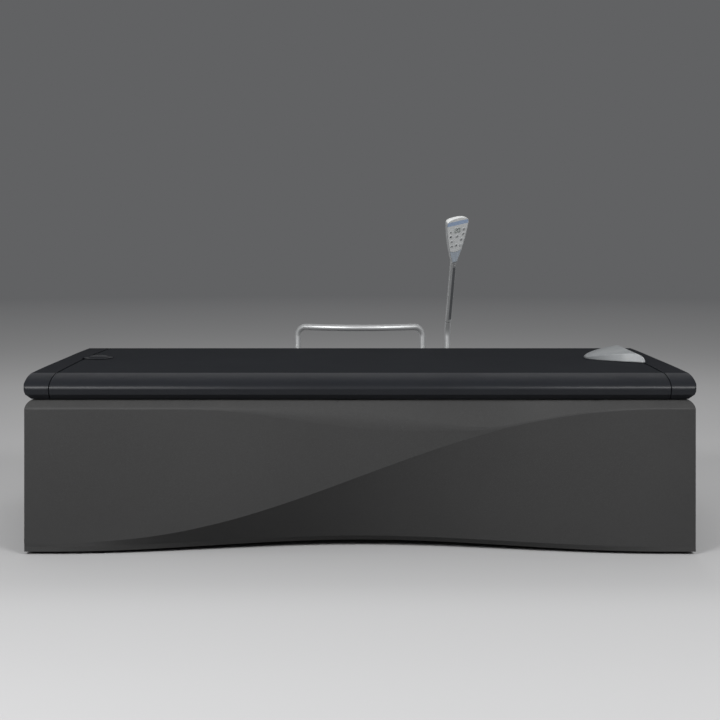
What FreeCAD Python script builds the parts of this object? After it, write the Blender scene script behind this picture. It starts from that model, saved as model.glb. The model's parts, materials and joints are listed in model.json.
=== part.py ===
import FreeCAD, Part
import math
import os

# Hydro massage lounger, in millimetres. +X points to the head end, -Y to the sculpted front, +Z up.
# Everything is drawn about the middle of the lid and moved at the end, so that the origin lies on the
# floor under the middle of the whole outline, sockets behind the lid included.

V = FreeCAD.Vector
UP = V(0, 0, 1)
DOWN = V(0, 0, -1)
HEADWARD = V(1, 0, 0)
FOOTWARD = V(-1, 0, 0)
BACK = V(0, 1, 0)
FRONT = V(0, -1, 0)

# Lid, the black upper body
LID_LENGTH = 2220.0
LID_DEPTH = 1080.0
LYING_HEIGHT = 588.0  # front and rear crease of the lying surface above the floor
LID_CROWN = 5.0  # rise of the lying surface between its two creases
LID_HEIGHT = 77.0  # crease to the underside
EDGE_RUN = 102.0  # crease to nose, seen from above
EDGE_DROP = 43.0  # crease down to the nose
EDGE_FALL = 7.0  # how steeply the edge leaves the crease
EDGE_HANDLE_IN = 46.0  # reach of the edge curve's flat end
EDGE_HANDLE_DOWN = 22.0  # reach of the edge curve's upright end
LIP_DROP = 18.0  # lip below the nose, which leans in
LIP_LEAN = 6.0
BEVEL = 45.0  # degrees by which the edge turns under below the lip
END_CAP_LENGTH = 84.0
SEAM_GAP = 3.0
END_ROUND = 12.0
LID_CORNER_ROUND = 10.0
MAT_THICKNESS = 9.0  # at the creases
MAT_GAP = 1.0  # groove between the mat and the edge rails
MARGIN_THICKNESS = 4.0  # thin margin of the mat, clamped under the rails and caps
MARGIN_WIDTH = 24.0
MARGIN_GAP = 1.0

# Base, the anthracite lower body
BASE_INSET = 3.0  # base face behind the lid's nose
BASE_END_INSET = 3.5  # base ends behind the lid's ends
BASE_BOTTOM = 10.0
LID_GAP = 2.0  # between base and lid
CHAMFER_RUN = 28.0
CHAMFER_DROP = 27.0
PANEL_WALL = 6.0
PANEL_GAP = 1.5
BASE_END_ROUND = 28.0

# Sculpted front panel
RECESS = 112.0  # toe space: foot of the panel behind its face, in the middle
RECESS_REACH = 1010.0  # from the middle to where the toe space ends
ARCH_RISE = 12.0  # of the panel's foot, in the middle
ROLL_UNDER = 15.0  # lower band turned under, in the middle
BAND_HEIGHT = 17.0
SWEEP_LOW = 38.0  # crease at the foot end
SWEEP_END = 4.0  # crease below the chamfer at the head end
SHOULDER_FALL = 66.0  # how far the upper chamfer comes down to meet the crease
SHOULDER_FROM = -600.0
SHOULDER_TO = 500.0
SHOULDER_STRIP = 4.0  # least face between crease and chamfer
SOFT_SHARE = 0.7  # most of that face that the chamfer's rounding takes
SOFT_EDGE = 28.0  # rounding of the chamfer in the middle
CRISP_EDGE = 4.0  # and at the ends
SOFT_MIDDLE = -50.0
SOFT_REACH = 520.0
STATIONS = 17
TRIM = 20.0  # how far a rough form runs past the faces that trim it
OVERRUN = 0.5  # share of its length by which a section's line runs past the plane that trims it

# Rear panel
VENT_COUNT = 14
VENT_PITCH = 22.0
VENT_WIDTH = 9.0
VENT_HEIGHT = 110.0
VENT_SETBACK = 406.5  # middle of the vents from the panel's head end
VENT_Z = 190.0

# Welded frame, tray and feet
FRAME_TUBE = 40.0
FRAME_WALL = 3.0
FRAME_SETBACK = 61.0  # outside of the upper frame behind the base's faces
SILL_SETBACK = 40.0  # lower side members behind the upper ones, clear of the toe space
FRAME_BOTTOM = 76.0
POST_X = 350.0
STUB_WIDTH = 84.0
STUB_HEIGHT = 40.0
STUB_DROP = 51.0  # middle of the stubs below the base's top
STUB_GAP = 1.0
TRAY_SHEET = 3.0
TRAY_FLANGE = 14.0
TRAY_GAP = 6.0  # between the tray's edge and the panels
TRAY_INSET = 2.0  # tray's front edge behind the outside of the sill
FOOT_SETBACK = 125.5  # corner feet from the frame's end members
FOOT_RADIUS = 28.0
FOOT_WAIST = 15.0
FOOT_HEIGHT = 16.0
SPINDLE_RADIUS = 6.0
SPINDLE_SOCKET = 8.0
SPINDLE_TOP = 106.0
NUT_WIDTH = 19.0
NUT_HEIGHT = 10.0
BRACKET_WIDTH = 40.0
BRACKET_HEIGHT = 32.0
BRACKET_SHEET = 2.5
BRACKET_SETBACK = 126.0  # outer brackets from the frame's end members
BRACKETS_LONG = 4

# Tub and what fastens the lid
TUB_WALL = 6.0
STEP_OUT = 32.0  # step in the flange, outside the creases
STEP_OUT_END = 26.0  # and outside the seams
STEP_DOWN = 28.0  # from the mat's seat down to the ledge that carries the lid
FLANGE_INSET = 44.0  # flange edge behind the lid's nose and ends
FLANGE_GAP = 2.0
POOL_SIDE_GAP = 30.0  # between the pool's wall and the frame's side members
POOL_FOOT_GAP = 1.5  # between the pool's wall and the frame's end member
POOL_HEAD_SETBACK = 304.0  # pool's head wall from the lid's end, under the pod
POOL_DEPTH = 159.0
POOL_CORNER = 40.0
SCREW_RADIUS = 3.0
SCREW_FIT = 0.1  # room round a screw in its hole
SCREW_HEAD = 5.5
SCREW_HEAD_HEIGHT = 3.5
SCREW_BITE = 20.0  # length of a lid screw above the ledge
LID_SCREWS_LONG = 7
LID_SCREWS_END = 3
SCREW_LINE = 9.0  # from the flange edge to the screws

# Filler at the foot end
FILLER_INSET = 49.0  # filler from the foot-end seam
CAP_RADIUS = 53.0
CAP_RIM = 1.2
CAP_DOME_RADIUS = 39.0
CAP_SHOULDER = 32.0  # radius at which the dome levels off
CAP_DOME = 9.5
CAP_LIFT = 0.8  # cap rim above the lying surface
CAP_NOTCH_GAP = 8.0
NECK_RADIUS = 18.0
NECK_BORE = 14.0
NECK_FLANGE = 20.5
NECK_FLANGE_HEIGHT = 2.0
NECK_DEPTH = 22.0
PLUG_GAP = 0.4
PLUG_DEPTH = 20.0
SEAL_OUTER = 27.0
SEAL_INNER = 21.0
SEAL_HEIGHT = 2.4
RUN_GAP = 0.4  # between a turning piece and what it turns over

# Silver pod at the head end
POD_TAIL_SETBACK = 83.0  # pod's tail from the lid's end
POD_LENGTH = 190.0
POD_HALF_WIDTH = 165.0
POD_RIDGE_HALF_WIDTH = 158.0
POD_RIDGE_HEIGHT = 34.0
POD_SPINE_HALF_WIDTH = 59.0
POD_SPINE_HEIGHT = 62.0
POD_CREST_RUN = 71.0  # crest before the tail
POD_CREST_HEIGHT = 52.0
POD_TAIL_ROUND = 28.0  # length of the tail's rounding
POD_TAIL_HEIGHT = 30.0
POD_TAIL_FALL = 24.0  # height of the corner that the rounding follows
POD_TIP_SHARE = 0.012  # of the length, where the first section lies
POD_SECTIONS = 7
GASKET_HEIGHT = 3.0
GASKET_INSET = 2.0
POD_SCREW_REACH = 14.0

# Grab handle and its sockets
LEG_BEHIND = 20.0  # axis of the legs and the post behind the lid's nose
HANDLE_TUBE = 26.9
HANDLE_HALF_SPAN = 262.0
HANDLE_RISE = 92.0  # handle above the lying surface
HANDLE_BEND = 40.0
HANDLE_BOW = 25.0  # degrees by which the bar's ends point to the front
SOCKET_WALL = 5.5
SOCKET_BELOW = 22.0  # socket below and above the middle of its stub
SOCKET_ABOVE = 48.0
SOCKET_FLOOR = 6.0
SOCKET_PLATE_WIDTH = 100.0
SOCKET_PLATE_SHEET = 6.0
TUBE_FIT = 0.05
BOLT_SPREAD = 30.0
BOLT_RADIUS = 4.0
BOLT_HEAD = 7.5
BOLT_HEAD_HEIGHT = 4.4
BOLT_BITE = 20.0

# Control post, arm and head
POST_OFFSET = 104.0  # post from the handle's leg
POST_TUBE = 25.6
POST_WALL = 2.0
POST_BEND = 80.0
POST_RISE = 40.0  # start of the post's bend above the lying surface
RING_RISE = 103.0  # ring above the lying surface
ARM_LEAN = 27.0  # degrees from upright, towards the lying person
ARM_AZIMUTH = 5.2  # degrees by which the lean turns to the head end
ARM_TWIST = 30.0  # degrees by which the head looks to the head end
BUSH_FLANGE = 2.5
BUSH_WALL = 2.0
BUSH_DEPTH = 24.0
SPIGOT_FIT = 0.05
ARM_TUBE = 25.6
ARM_LENGTH = 292.0
GROOVE_WIDTH = 13.0
GROOVE_DEPTH = 6.0
GROOVE_START = 14.0
STRIP_END = 262.0
STRIP_GAP = 0.3
HEAD_START = 284.0  # tip of the head above the ring, along the arm
HEAD_LENGTH = 203.0
HEAD_TIP_WIDTH = 24.0
HEAD_WAIST_WIDTH = 74.0
HEAD_WAIST = 86.0
HEAD_WIDTH = 104.0
HEAD_SHOULDER = 176.0
HEAD_THICKNESS = 27.0
HEAD_BACK_ROUND = 10.0  # how far the back draws in from the outline
HEAD_SIDE_ROUND = 1.0  # how far the sides have drawn in half way back
HEAD_CROWN = 26.0  # height of the head's round shoulders
HEAD_WALL = 3.0
HEAD_FACE = 10.0  # face in front of the arm's axis
CAP_SEAM = 188.0  # lower edge of the head's bright cap
FOIL_THICKNESS = 1.6
FOIL_MARGIN = 2.5
WINDOW_WIDTH = 34.0
WINDOW_HEIGHT = 22.0
WINDOW_Z = 147.0
WINDOW_PROUD = 0.6
BOARD_THICKNESS = 1.6
BOARD_WIDTH = 44.0
BOARD_HEIGHT = 60.0
BOARD_Z = 124.0

# Jet carriage in the tub
RAIL_RADIUS = 10.0
RAIL_INSET = 40.0  # guide rails from the carriage's sides
RAIL_LIFT = 52.0  # guide rails above the pool's floor
RAIL_END_GAP = 4.0
PEDESTAL_LENGTH = 26.0
PEDESTAL_WIDTH = 44.0
PEDESTAL_CAP = 14.0
CARRIAGE_PARK = 218.0  # parked carriage from the pool's foot wall
CARRIAGE_LENGTH = 220.0
CARRIAGE_SIDE_GAP = 110.0  # between the carriage and the pool's walls
CARRIAGE_SHEET = 10.0
CARRIAGE_LIFT = 26.0  # carriage plate above the guide rails
CARRIAGE_ROUND = 20.0
BEARING_LENGTH = 44.0
BEARING_WIDTH = 46.0
BEARING_BELOW = 15.0
BEARING_SPREAD = 160.0
BUSHING_WALL = 2.5
SLIDE_FIT = 0.08
ROTOR_SPREAD = 160.0
ROTOR_ARM = 92.0
ROTOR_HUB = 20.0
ROTOR_TUBE = 9.0
ROTOR_LIFT = 16.0  # rotor arms above the carriage plate
NOZZLE_RADIUS = 6.0
NOZZLE_TIP = 3.0
NOZZLE_HEIGHT = 16.0
PIVOT_RADIUS = 8.0

# Belt drive
PULLEY_RADIUS = 25.0
PULLEY_FLANGE = 31.0
PULLEY_FLANGE_SHEET = 2.0
BELT_THICKNESS = 3.0
BELT_WIDTH = 16.0
BELT_LIFT = 26.0  # middle of the belt above the pool's floor
BELT_GAP = 0.4
DRIVE_INSET = 76.0  # drive pulley from the pool's head wall
IDLER_INSET = 73.0  # idler pulley from the pool's foot wall
SHAFT_RADIUS = 8.0
SHAFT_FIT = 0.05
AXLE_SHOULDER = 12.8
SEAL_RING = 14.0
CLAMP_JAW = 7.0
CLAMP_LENGTH = 40.0
GEARBOX_SIDE = 90.0
GEARBOX_ROUND = 11.0
GEARBOX_HEIGHT = 62.0
MOTOR_RADIUS = 36.0
MOTOR_LENGTH = 120.0

# Water circuit under the tub
HOSE_RADIUS = 14.0
HOSE_WALL = 3.0
HOSE_START_X = -180.0
HOSE_TURN_X = -10.0
HOSE_INSET = 50.0  # hose's fixed run from the pool's front wall
HOSE_LOOP = 160.0  # between the hose's two runs
HOSE_CLEARANCE = 2.0
PIPE_RADIUS = 16.0
PIPE_WALL = 2.5
PIPE_BEND = 60.0
PUMP_X = -270.0
PUMP_Z = 190.0
VOLUTE_RADIUS = 74.0
VOLUTE_LENGTH = 60.0
VOLUTE_WALL = 6.0
INLET_LENGTH = 30.0
IMPELLER_GAP = 4.0
IMPELLER_HUB = 16.0
BLADE_COUNT = 6
BLADE_THICKNESS = 3.0
PUMP_MOTOR_RADIUS = 62.0
PUMP_MOTOR_LENGTH = 210.0
PUMP_FOOT_WIDTH = 120.0
SHAFT_BITE = 60.0
FIN_COUNT = 16
FIN_HEIGHT = 8.0
FIN_THICKNESS = 4.0
HEATER_RADIUS = 42.0
HEATER_LENGTH = 240.0
SUCTION_INSET = 238.0  # suction pipe from the pool's foot wall

# Electrics
BOX_POST_GAP = 60.0  # between the box and the frame's middle post
BOX_GAP = 76.0  # between the box and the rear sill
BOX_LENGTH = 300.0
BOX_DEPTH = 200.0
BOX_HEIGHT = 110.0
BOX_WALL = 3.0
BOX_ROUND = 6.0
BOX_LID = 4.0
INLET_SETBACK = 286.5  # mains inlet from the panel's foot end
INLET_Z = 150.0
INLET_WIDTH = 48.0
INLET_HEIGHT = 28.0
INLET_DEPTH = 34.0
INLET_RIM = 6.0
INLET_RIM_SHEET = 2.0
INLET_WALL = 6.0
INLET_WELL = 22.0
PIN_WIDTH = 4.0
PIN_SHEET = 2.0
PIN_SPREAD = 12.0
PIN_LENGTH = 16.0

# Sizes that follow from the ones above
HALF_LENGTH = LID_LENGTH / 2
HALF_DEPTH = LID_DEPTH / 2
LID_UNDERSIDE = LYING_HEIGHT - LID_HEIGHT
LID_TOP = LYING_HEIGHT + LID_CROWN
CREASE_Y = HALF_DEPTH - EDGE_RUN
SEAM_X = HALF_LENGTH - END_CAP_LENGTH
FLANGE_TOP = LYING_HEIGHT - MAT_THICKNESS
FLANGE_UNDERSIDE = FLANGE_TOP - TUB_WALL
LEDGE_TOP = FLANGE_TOP - STEP_DOWN
LEDGE_UNDERSIDE = LEDGE_TOP - TUB_WALL
STEP_X = SEAM_X + STEP_OUT_END
STEP_Y = CREASE_Y + STEP_OUT
FLANGE_HALF_LENGTH = HALF_LENGTH - FLANGE_INSET
FLANGE_HALF_DEPTH = HALF_DEPTH - FLANGE_INSET
MAT_HALF_LENGTH = SEAM_X - SEAM_GAP / 2
MAT_HALF_DEPTH = CREASE_Y - MAT_GAP
BASE_TOP = LID_UNDERSIDE - LID_GAP
BASE_HALF_LENGTH = HALF_LENGTH - BASE_END_INSET
BASE_HALF_DEPTH = HALF_DEPTH - BASE_INSET
CHAMFER_Z = BASE_TOP - CHAMFER_DROP
SWEEP_HIGH = CHAMFER_Z - SWEEP_END
VENT_X = BASE_HALF_LENGTH - VENT_SETBACK
INLET_X = INLET_SETBACK - BASE_HALF_LENGTH
STUB_Z = BASE_TOP - STUB_DROP
SOCKET_LOW = STUB_Z - SOCKET_BELOW
SOCKET_HIGH = STUB_Z + SOCKET_ABOVE
PANEL_RETURN = FRAME_SETBACK - BRACKET_SHEET - PANEL_GAP  # reach of the panels inwards from their faces
FRAME_OUTER_Y = BASE_HALF_DEPTH - FRAME_SETBACK
FRAME_HALF_LENGTH = BASE_HALF_LENGTH - FRAME_SETBACK - FRAME_TUBE / 2
FRAME_HALF_DEPTH = FRAME_OUTER_Y - FRAME_TUBE / 2
SILL_HALF_DEPTH = FRAME_HALF_DEPTH - SILL_SETBACK
FOOT_X = FRAME_HALF_LENGTH - FOOT_SETBACK
POOL_HALF_DEPTH = FRAME_HALF_DEPTH - FRAME_TUBE / 2 - POOL_SIDE_GAP - TUB_WALL
POOL_FOOT_X = -(FRAME_HALF_LENGTH - FRAME_TUBE / 2 - POOL_FOOT_GAP - TUB_WALL)
POOL_HEAD_X = HALF_LENGTH - POOL_HEAD_SETBACK
POOL_FLOOR = FLANGE_TOP - POOL_DEPTH
TUB_UNDERSIDE = POOL_FLOOR - TUB_WALL
SCREW_HOLE = SCREW_RADIUS + SCREW_FIT
FILLER_X = FILLER_INSET - SEAM_X
POD_TAIL_X = HALF_LENGTH - POD_TAIL_SETBACK
POD_TIP_X = POD_TAIL_X - POD_LENGTH
POD_CREST_X = POD_TAIL_X - POD_CREST_RUN
CARRIAGE_PARKED_X = POOL_FOOT_X + CARRIAGE_PARK
CARRIAGE_WIDTH = 2 * (POOL_HALF_DEPTH - CARRIAGE_SIDE_GAP)
RAIL_SPREAD = CARRIAGE_WIDTH / 2 - RAIL_INSET
RAIL_Z = POOL_FLOOR + RAIL_LIFT
CARRIAGE_Z = RAIL_Z + CARRIAGE_LIFT
ROTOR_Z = CARRIAGE_Z + CARRIAGE_SHEET + ROTOR_LIFT
BELT_Z = POOL_FLOOR + BELT_LIFT
DRIVE_X = POOL_HEAD_X - DRIVE_INSET
IDLER_X = POOL_FOOT_X + IDLER_INSET
SUCTION_X = POOL_FOOT_X + SUCTION_INSET
HOSE_FRONT_Y = HOSE_INSET - POOL_HALF_DEPTH
HOSE_BACK_Y = HOSE_FRONT_Y + HOSE_LOOP
BOX_X = POST_X + FRAME_TUBE / 2 + BOX_POST_GAP
BOX_Y = SILL_HALF_DEPTH - FRAME_TUBE / 2 - BOX_GAP - BOX_DEPTH
LEG_Y = HALF_DEPTH + LEG_BEHIND
HANDLE_TOP = LYING_HEIGHT + HANDLE_RISE
POST_POSITION = HANDLE_HALF_SPAN + POST_OFFSET
POST_BEND_Z = LYING_HEIGHT + POST_RISE
RING_Z = LYING_HEIGHT + RING_RISE
SOCKET_RADIUS = HANDLE_TUBE / 2 + SOCKET_WALL
REAR_REACH = LEG_Y + SOCKET_RADIUS - HALF_DEPTH
TRAY_TOP = FRAME_BOTTOM
HOSE_Z = POOL_FLOOR + HOSE_RADIUS + HOSE_CLEARANCE


def block(x0, x1, y0, y1, z0, z1):
    """A box between two corners."""
    return Part.makeBox(x1 - x0, y1 - y0, z1 - z0, V(x0, y0, z0))


def rod(radius, start, end):
    """A cylinder between two points."""
    return Part.makeCylinder(radius, (end - start).Length, start, end - start)


def ring(outer, inner, start, end):
    """A plain tube between two points."""
    return rod(outer, start, end).cut(rod(inner, start, end))


def joined(shapes):
    """One solid from shapes that meet."""
    return shapes[0].multiFuse(shapes[1:]).removeSplitter()


def line(a, b):
    return Part.LineSegment(a, b).toShape()


def arc(a, through, b):
    return Part.Arc(a, through, b).toShape()


def curve(poles):
    bezier = Part.BezierCurve()
    bezier.setPoles(poles)
    return bezier.toShape()


def face_of(edges):
    return Part.Face(Part.Wire(edges))


def prism(points, along):
    """A straight extrusion of a polygon."""
    return Part.Face(Part.makePolygon(points + points[:1])).extrude(along)


def rounded_block(x0, x1, y0, y1, z0, z1, radius):
    """A box whose upright edges are rounded."""
    body = block(x0, x1, y0, y1, z0, z1)
    upright = [e for e in body.Edges if abs(e.tangentAt(e.FirstParameter).z) > 0.5]
    return body.makeFillet(radius, upright)


def swept(profile_radius, path):
    """A round bar along a path of straight runs and arcs."""
    wire = Part.Wire(path)
    start = wire.OrderedVertexes[0].Point
    tangent = path[0].tangentAt(path[0].FirstParameter)
    profile = Part.Wire(Part.makeCircle(profile_radius, start, tangent))
    return wire.makePipeShell([profile], True, False)


def hexagon_nut(centre, height, bore):
    """A nut standing on its lower face."""
    reach = NUT_WIDTH / 2 / math.cos(math.radians(30))
    angles = [math.radians(60 * i) for i in range(6)]
    points = [centre + V(reach * math.cos(a), reach * math.sin(a), 0) for a in angles]
    return prism(points, UP * height).cut(rod(bore, centre, centre + UP * height))


def smoother(t):
    """A step from 0 to 1 that starts and ends flat."""
    t = min(max(t, 0.0), 1.0)
    return t * t * t * (t * (6 * t - 15) + 10)


def swell(x, reach):
    """A bell that is 1 in the middle and 0 at the reach."""
    if abs(x) >= reach:
        return 0.0
    return 0.5 + 0.5 * math.cos(math.pi * x / reach)


# Lid

def lid_lip(at):
    """Lower part of the lid's edge: a lip that leans in under the nose and a bevel down to the underside.

    at turns a distance behind the nose and a height into a point.
    """
    nose = LYING_HEIGHT - EDGE_DROP
    lip = (LIP_LEAN, nose - LIP_DROP)
    foot = (LIP_LEAN + (lip[1] - LID_UNDERSIDE) / math.tan(math.radians(BEVEL)), LID_UNDERSIDE)
    return [line(at(0, nose), at(*lip)), line(at(*lip), at(*foot))], at(*foot)


def lid_long_edge(side):
    """Rounded long edge of the lid, from its crease down to the underside."""
    def at(behind, z):
        return V(0, side * (HALF_DEPTH - behind), z)

    nose = LYING_HEIGHT - EDGE_DROP
    poles = [
        at(EDGE_RUN, LYING_HEIGHT),
        at(EDGE_HANDLE_IN, LYING_HEIGHT - EDGE_FALL),
        at(0, LYING_HEIGHT - EDGE_HANDLE_DOWN),
        at(0, nose),
    ]
    lip, foot = lid_lip(at)
    return [curve(poles)] + lip, foot


def lid_form():
    """The lid's outer form as one block: long edges, ends and corners."""
    front, front_foot = lid_long_edge(-1)
    rear, rear_foot = lid_long_edge(1)
    crown = arc(V(0, -CREASE_Y, LYING_HEIGHT), V(0, 0, LID_TOP), V(0, CREASE_Y, LYING_HEIGHT))
    section = face_of([crown] + rear + [line(rear_foot, front_foot)] + front)
    section.translate(V(-HALF_LENGTH, 0, 0))
    long_form = section.extrude(HEADWARD * LID_LENGTH)

    edges = []
    feet = []
    shoulders = []
    for side in (-1, 1):
        def at(behind, z, side=side):
            return V(side * (HALF_LENGTH - behind), -HALF_DEPTH, z)

        lip, foot = lid_lip(at)
        turn = END_ROUND * (1 - math.sin(math.radians(45)))
        low = LID_TOP - END_ROUND
        edges += lip
        edges.append(line(at(0, LYING_HEIGHT - EDGE_DROP), at(0, low)))
        edges.append(arc(at(0, low), at(turn, LID_TOP - turn), at(END_ROUND, LID_TOP)))
        feet.append(foot)
        shoulders.append(at(END_ROUND, LID_TOP))
    edges += [line(*feet), line(*shoulders)]
    end_form = face_of(Part.sortEdges(edges)[0]).extrude(BACK * LID_DEPTH)
    corner_form = rounded_block(-HALF_LENGTH, HALF_LENGTH, -HALF_DEPTH, HALF_DEPTH,
                                LID_UNDERSIDE, LID_TOP, LID_CORNER_ROUND)
    return long_form.common(end_form).common(corner_form)


def crown_form(half_length, half_depth):
    """Everything under the crowned lying surface, within a plan rectangle."""
    edges = [
        arc(V(0, -CREASE_Y, LYING_HEIGHT), V(0, 0, LID_TOP), V(0, CREASE_Y, LYING_HEIGHT)),
        line(V(0, CREASE_Y, LYING_HEIGHT), V(0, CREASE_Y, FLANGE_TOP)),
        line(V(0, CREASE_Y, FLANGE_TOP), V(0, -CREASE_Y, FLANGE_TOP)),
        line(V(0, -CREASE_Y, FLANGE_TOP), V(0, -CREASE_Y, LYING_HEIGHT)),
    ]
    vault = face_of(edges).extrude(HEADWARD * 2 * half_length)
    vault.translate(V(-half_length, 0, 0))
    plan = block(-half_length, half_length, -half_depth, half_depth, FLANGE_TOP, LID_TOP)
    return vault.common(plan)


def lid_screw_places():
    """Where the lid is screwed to the tub's ledge from below."""
    y = FLANGE_HALF_DEPTH - SCREW_LINE
    x = FLANGE_HALF_LENGTH - SCREW_LINE
    reach = SEAM_X - END_CAP_LENGTH / 2
    places = []
    for i in range(LID_SCREWS_LONG):
        along = -reach + 2 * reach * i / (LID_SCREWS_LONG - 1)
        places += [V(along, -y, 0), V(along, y, 0)]
    for i in range(LID_SCREWS_END):
        across = -CREASE_Y * 2 / 3 + CREASE_Y * 4 / 3 * i / (LID_SCREWS_END - 1)
        places += [V(-x, across, 0), V(x, across, 0)]
    return places


def screw_from_below(place, seat, reach):
    """A pan-head screw whose head bears upwards against a face."""
    foot = V(place.x, place.y, seat)
    head = rod(SCREW_HEAD, foot - UP * SCREW_HEAD_HEIGHT, foot)
    return head.fuse(rod(SCREW_RADIUS, foot, foot + UP * reach)).removeSplitter()


def lid_screws():
    reach = TUB_WALL + SCREW_BITE
    return Part.Compound([screw_from_below(p, LEDGE_UNDERSIDE, reach) for p in lid_screw_places()])


def lid_pieces():
    """Edge rails and end caps, cut from one form along their seams."""
    hollows = (
        (FLANGE_HALF_LENGTH + FLANGE_GAP, FLANGE_HALF_DEPTH + FLANGE_GAP, LEDGE_TOP),
        (STEP_X + FLANGE_GAP, STEP_Y + FLANGE_GAP, FLANGE_TOP),
        (MAT_HALF_LENGTH + MARGIN_WIDTH + MARGIN_GAP, MAT_HALF_DEPTH + MARGIN_WIDTH + MARGIN_GAP,
         FLANGE_TOP + MARGIN_THICKNESS),
    )
    form = lid_form()
    for x, y, z in hollows:
        form = form.cut(block(-x, x, -y, y, 0, z))
    for place in lid_screw_places():
        foot = V(place.x, place.y, LEDGE_TOP)
        form = form.cut(rod(SCREW_HOLE, foot, foot + UP * SCREW_BITE))
    notch_foot = V(FILLER_X, 0, 0)
    notch = rod(CAP_RADIUS + CAP_NOTCH_GAP, notch_foot, notch_foot + UP * 2 * LYING_HEIGHT)
    cap_x = SEAM_X + SEAM_GAP / 2
    rail_x = SEAM_X - SEAM_GAP / 2
    tall = 2 * LYING_HEIGHT
    return {
        "foot_end_cap": form.common(block(-HALF_LENGTH, -cap_x, -HALF_DEPTH, HALF_DEPTH, 0, tall)).cut(notch),
        "head_end_cap": form.common(block(cap_x, HALF_LENGTH, -HALF_DEPTH, HALF_DEPTH, 0, tall)),
        "front_edge_rail": form.common(block(-rail_x, rail_x, -HALF_DEPTH, -CREASE_Y, 0, tall)),
        "rear_edge_rail": form.common(block(-rail_x, rail_x, CREASE_Y, HALF_DEPTH, 0, tall)),
    }


def lying_mat():
    """Crowned rubber sheet with a thin margin that is clamped all round."""
    x = MAT_HALF_LENGTH + MARGIN_WIDTH
    y = MAT_HALF_DEPTH + MARGIN_WIDTH
    margin = block(-x, x, -y, y, FLANGE_TOP, FLANGE_TOP + MARGIN_THICKNESS)
    mat = joined([crown_form(MAT_HALF_LENGTH, MAT_HALF_DEPTH), margin])
    neck = V(FILLER_X, 0, FLANGE_TOP)
    mat = mat.cut(rod(NECK_RADIUS, neck, neck + UP * LYING_HEIGHT))
    for place in pod_screw_places():
        foot = V(place.x, place.y, FLANGE_TOP)
        mat = mat.cut(rod(SCREW_HOLE, foot, foot + UP * LYING_HEIGHT))
    return mat


# Filler

def filler_neck():
    """Flanged neck in the mat, with the bore that the cap's plug goes into."""
    seat = V(FILLER_X, 0, FLANGE_TOP)
    flange = rod(NECK_FLANGE, seat - UP * NECK_FLANGE_HEIGHT, seat)
    tube = rod(NECK_RADIUS, seat - UP * NECK_DEPTH, V(FILLER_X, 0, LID_TOP))
    bore = rod(NECK_BORE, seat - UP * NECK_DEPTH, V(FILLER_X, 0, LID_TOP))
    return joined([flange, tube]).cut(bore)


def filler_cap():
    """Low cap with a flat rim, a dome, a plug and a groove for its seal."""
    rim = LID_TOP + CAP_LIFT
    edges = [
        line(V(0, 0, rim), V(CAP_RADIUS, 0, rim)),
        line(V(CAP_RADIUS, 0, rim), V(CAP_RADIUS, 0, rim + CAP_RIM)),
        line(V(CAP_RADIUS, 0, rim + CAP_RIM), V(CAP_DOME_RADIUS, 0, rim + CAP_RIM)),
        curve([V(CAP_DOME_RADIUS, 0, rim + CAP_RIM), V(CAP_SHOULDER, 0, rim + CAP_DOME),
               V(CAP_SHOULDER / 2, 0, rim + CAP_DOME), V(0, 0, rim + CAP_DOME)]),
        line(V(0, 0, rim + CAP_DOME), V(0, 0, rim)),
    ]
    dome = face_of(edges).revolve(V(0, 0, 0), UP, 360)
    plug = rod(NECK_BORE - PLUG_GAP, V(0, 0, rim - PLUG_DEPTH), V(0, 0, rim))
    cap = joined([Part.Solid(dome), plug]).cut(cap_seal_at(V(0, 0, 0)))
    cap.translate(V(FILLER_X, 0, 0))
    return cap


def cap_seal_at(centre):
    low = centre + UP * (LID_TOP + RUN_GAP)
    return ring(SEAL_OUTER, SEAL_INNER, low, low + UP * SEAL_HEIGHT)


# Pod

def pod_section(share):
    """Cross-section of the pod at a share of its length: walls, ridges and spine."""
    scale = math.sqrt(share)
    x = POD_TIP_X + POD_LENGTH * share
    half = [
        V(x, POD_HALF_WIDTH * scale, 0),
        V(x, POD_RIDGE_HALF_WIDTH * scale, POD_RIDGE_HEIGHT * scale),
    ]
    flat = POD_SPINE_HALF_WIDTH * scale
    crown = curve([half[1], V(x, flat, POD_SPINE_HEIGHT * scale),
                   V(x, -flat, POD_SPINE_HEIGHT * scale), V(x, -half[1].y, half[1].z)])
    left = [V(p.x, -p.y, p.z) for p in half]
    return Part.Wire([line(half[0], half[1]), crown, line(left[1], left[0]), line(left[0], half[0])])


def head_pod():
    """Streamlined pod: a swelling nose, cut by the curve of its blunt tail."""
    floor = LID_TOP + GASKET_HEIGHT - LID_CROWN / 2
    steps = [i / (POD_SECTIONS - 1) for i in range(POD_SECTIONS)]
    shares = [POD_TIP_SHARE + (1 - POD_TIP_SHARE) * t * t for t in steps]
    nose = Part.makeLoft([pod_section(s) for s in shares], True, False)
    y = -POD_HALF_WIDTH
    high = POD_SPINE_HEIGHT
    bend = V(POD_TAIL_X - POD_TAIL_ROUND, y, POD_TAIL_HEIGHT)
    edges = [
        line(V(POD_TIP_X, y, 0), V(POD_TIP_X, y, high)),
        line(V(POD_TIP_X, y, high), V(POD_CREST_X, y, high)),
        line(V(POD_CREST_X, y, high), V(POD_CREST_X, y, POD_CREST_HEIGHT)),
        line(V(POD_CREST_X, y, POD_CREST_HEIGHT), bend),
        curve([bend, V(POD_TAIL_X, y, POD_TAIL_FALL), V(POD_TAIL_X, y, 0)]),
        line(V(POD_TAIL_X, y, 0), V(POD_TIP_X, y, 0)),
    ]
    tail = face_of(edges).extrude(BACK * 2 * POD_HALF_WIDTH)
    pod = nose.common(tail)
    pod.translate(UP * floor)
    for place in pod_screw_places():
        foot = V(place.x, place.y, floor)
        pod = pod.cut(rod(SCREW_HOLE, foot, foot + UP * POD_SCREW_REACH))
    return pod


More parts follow.
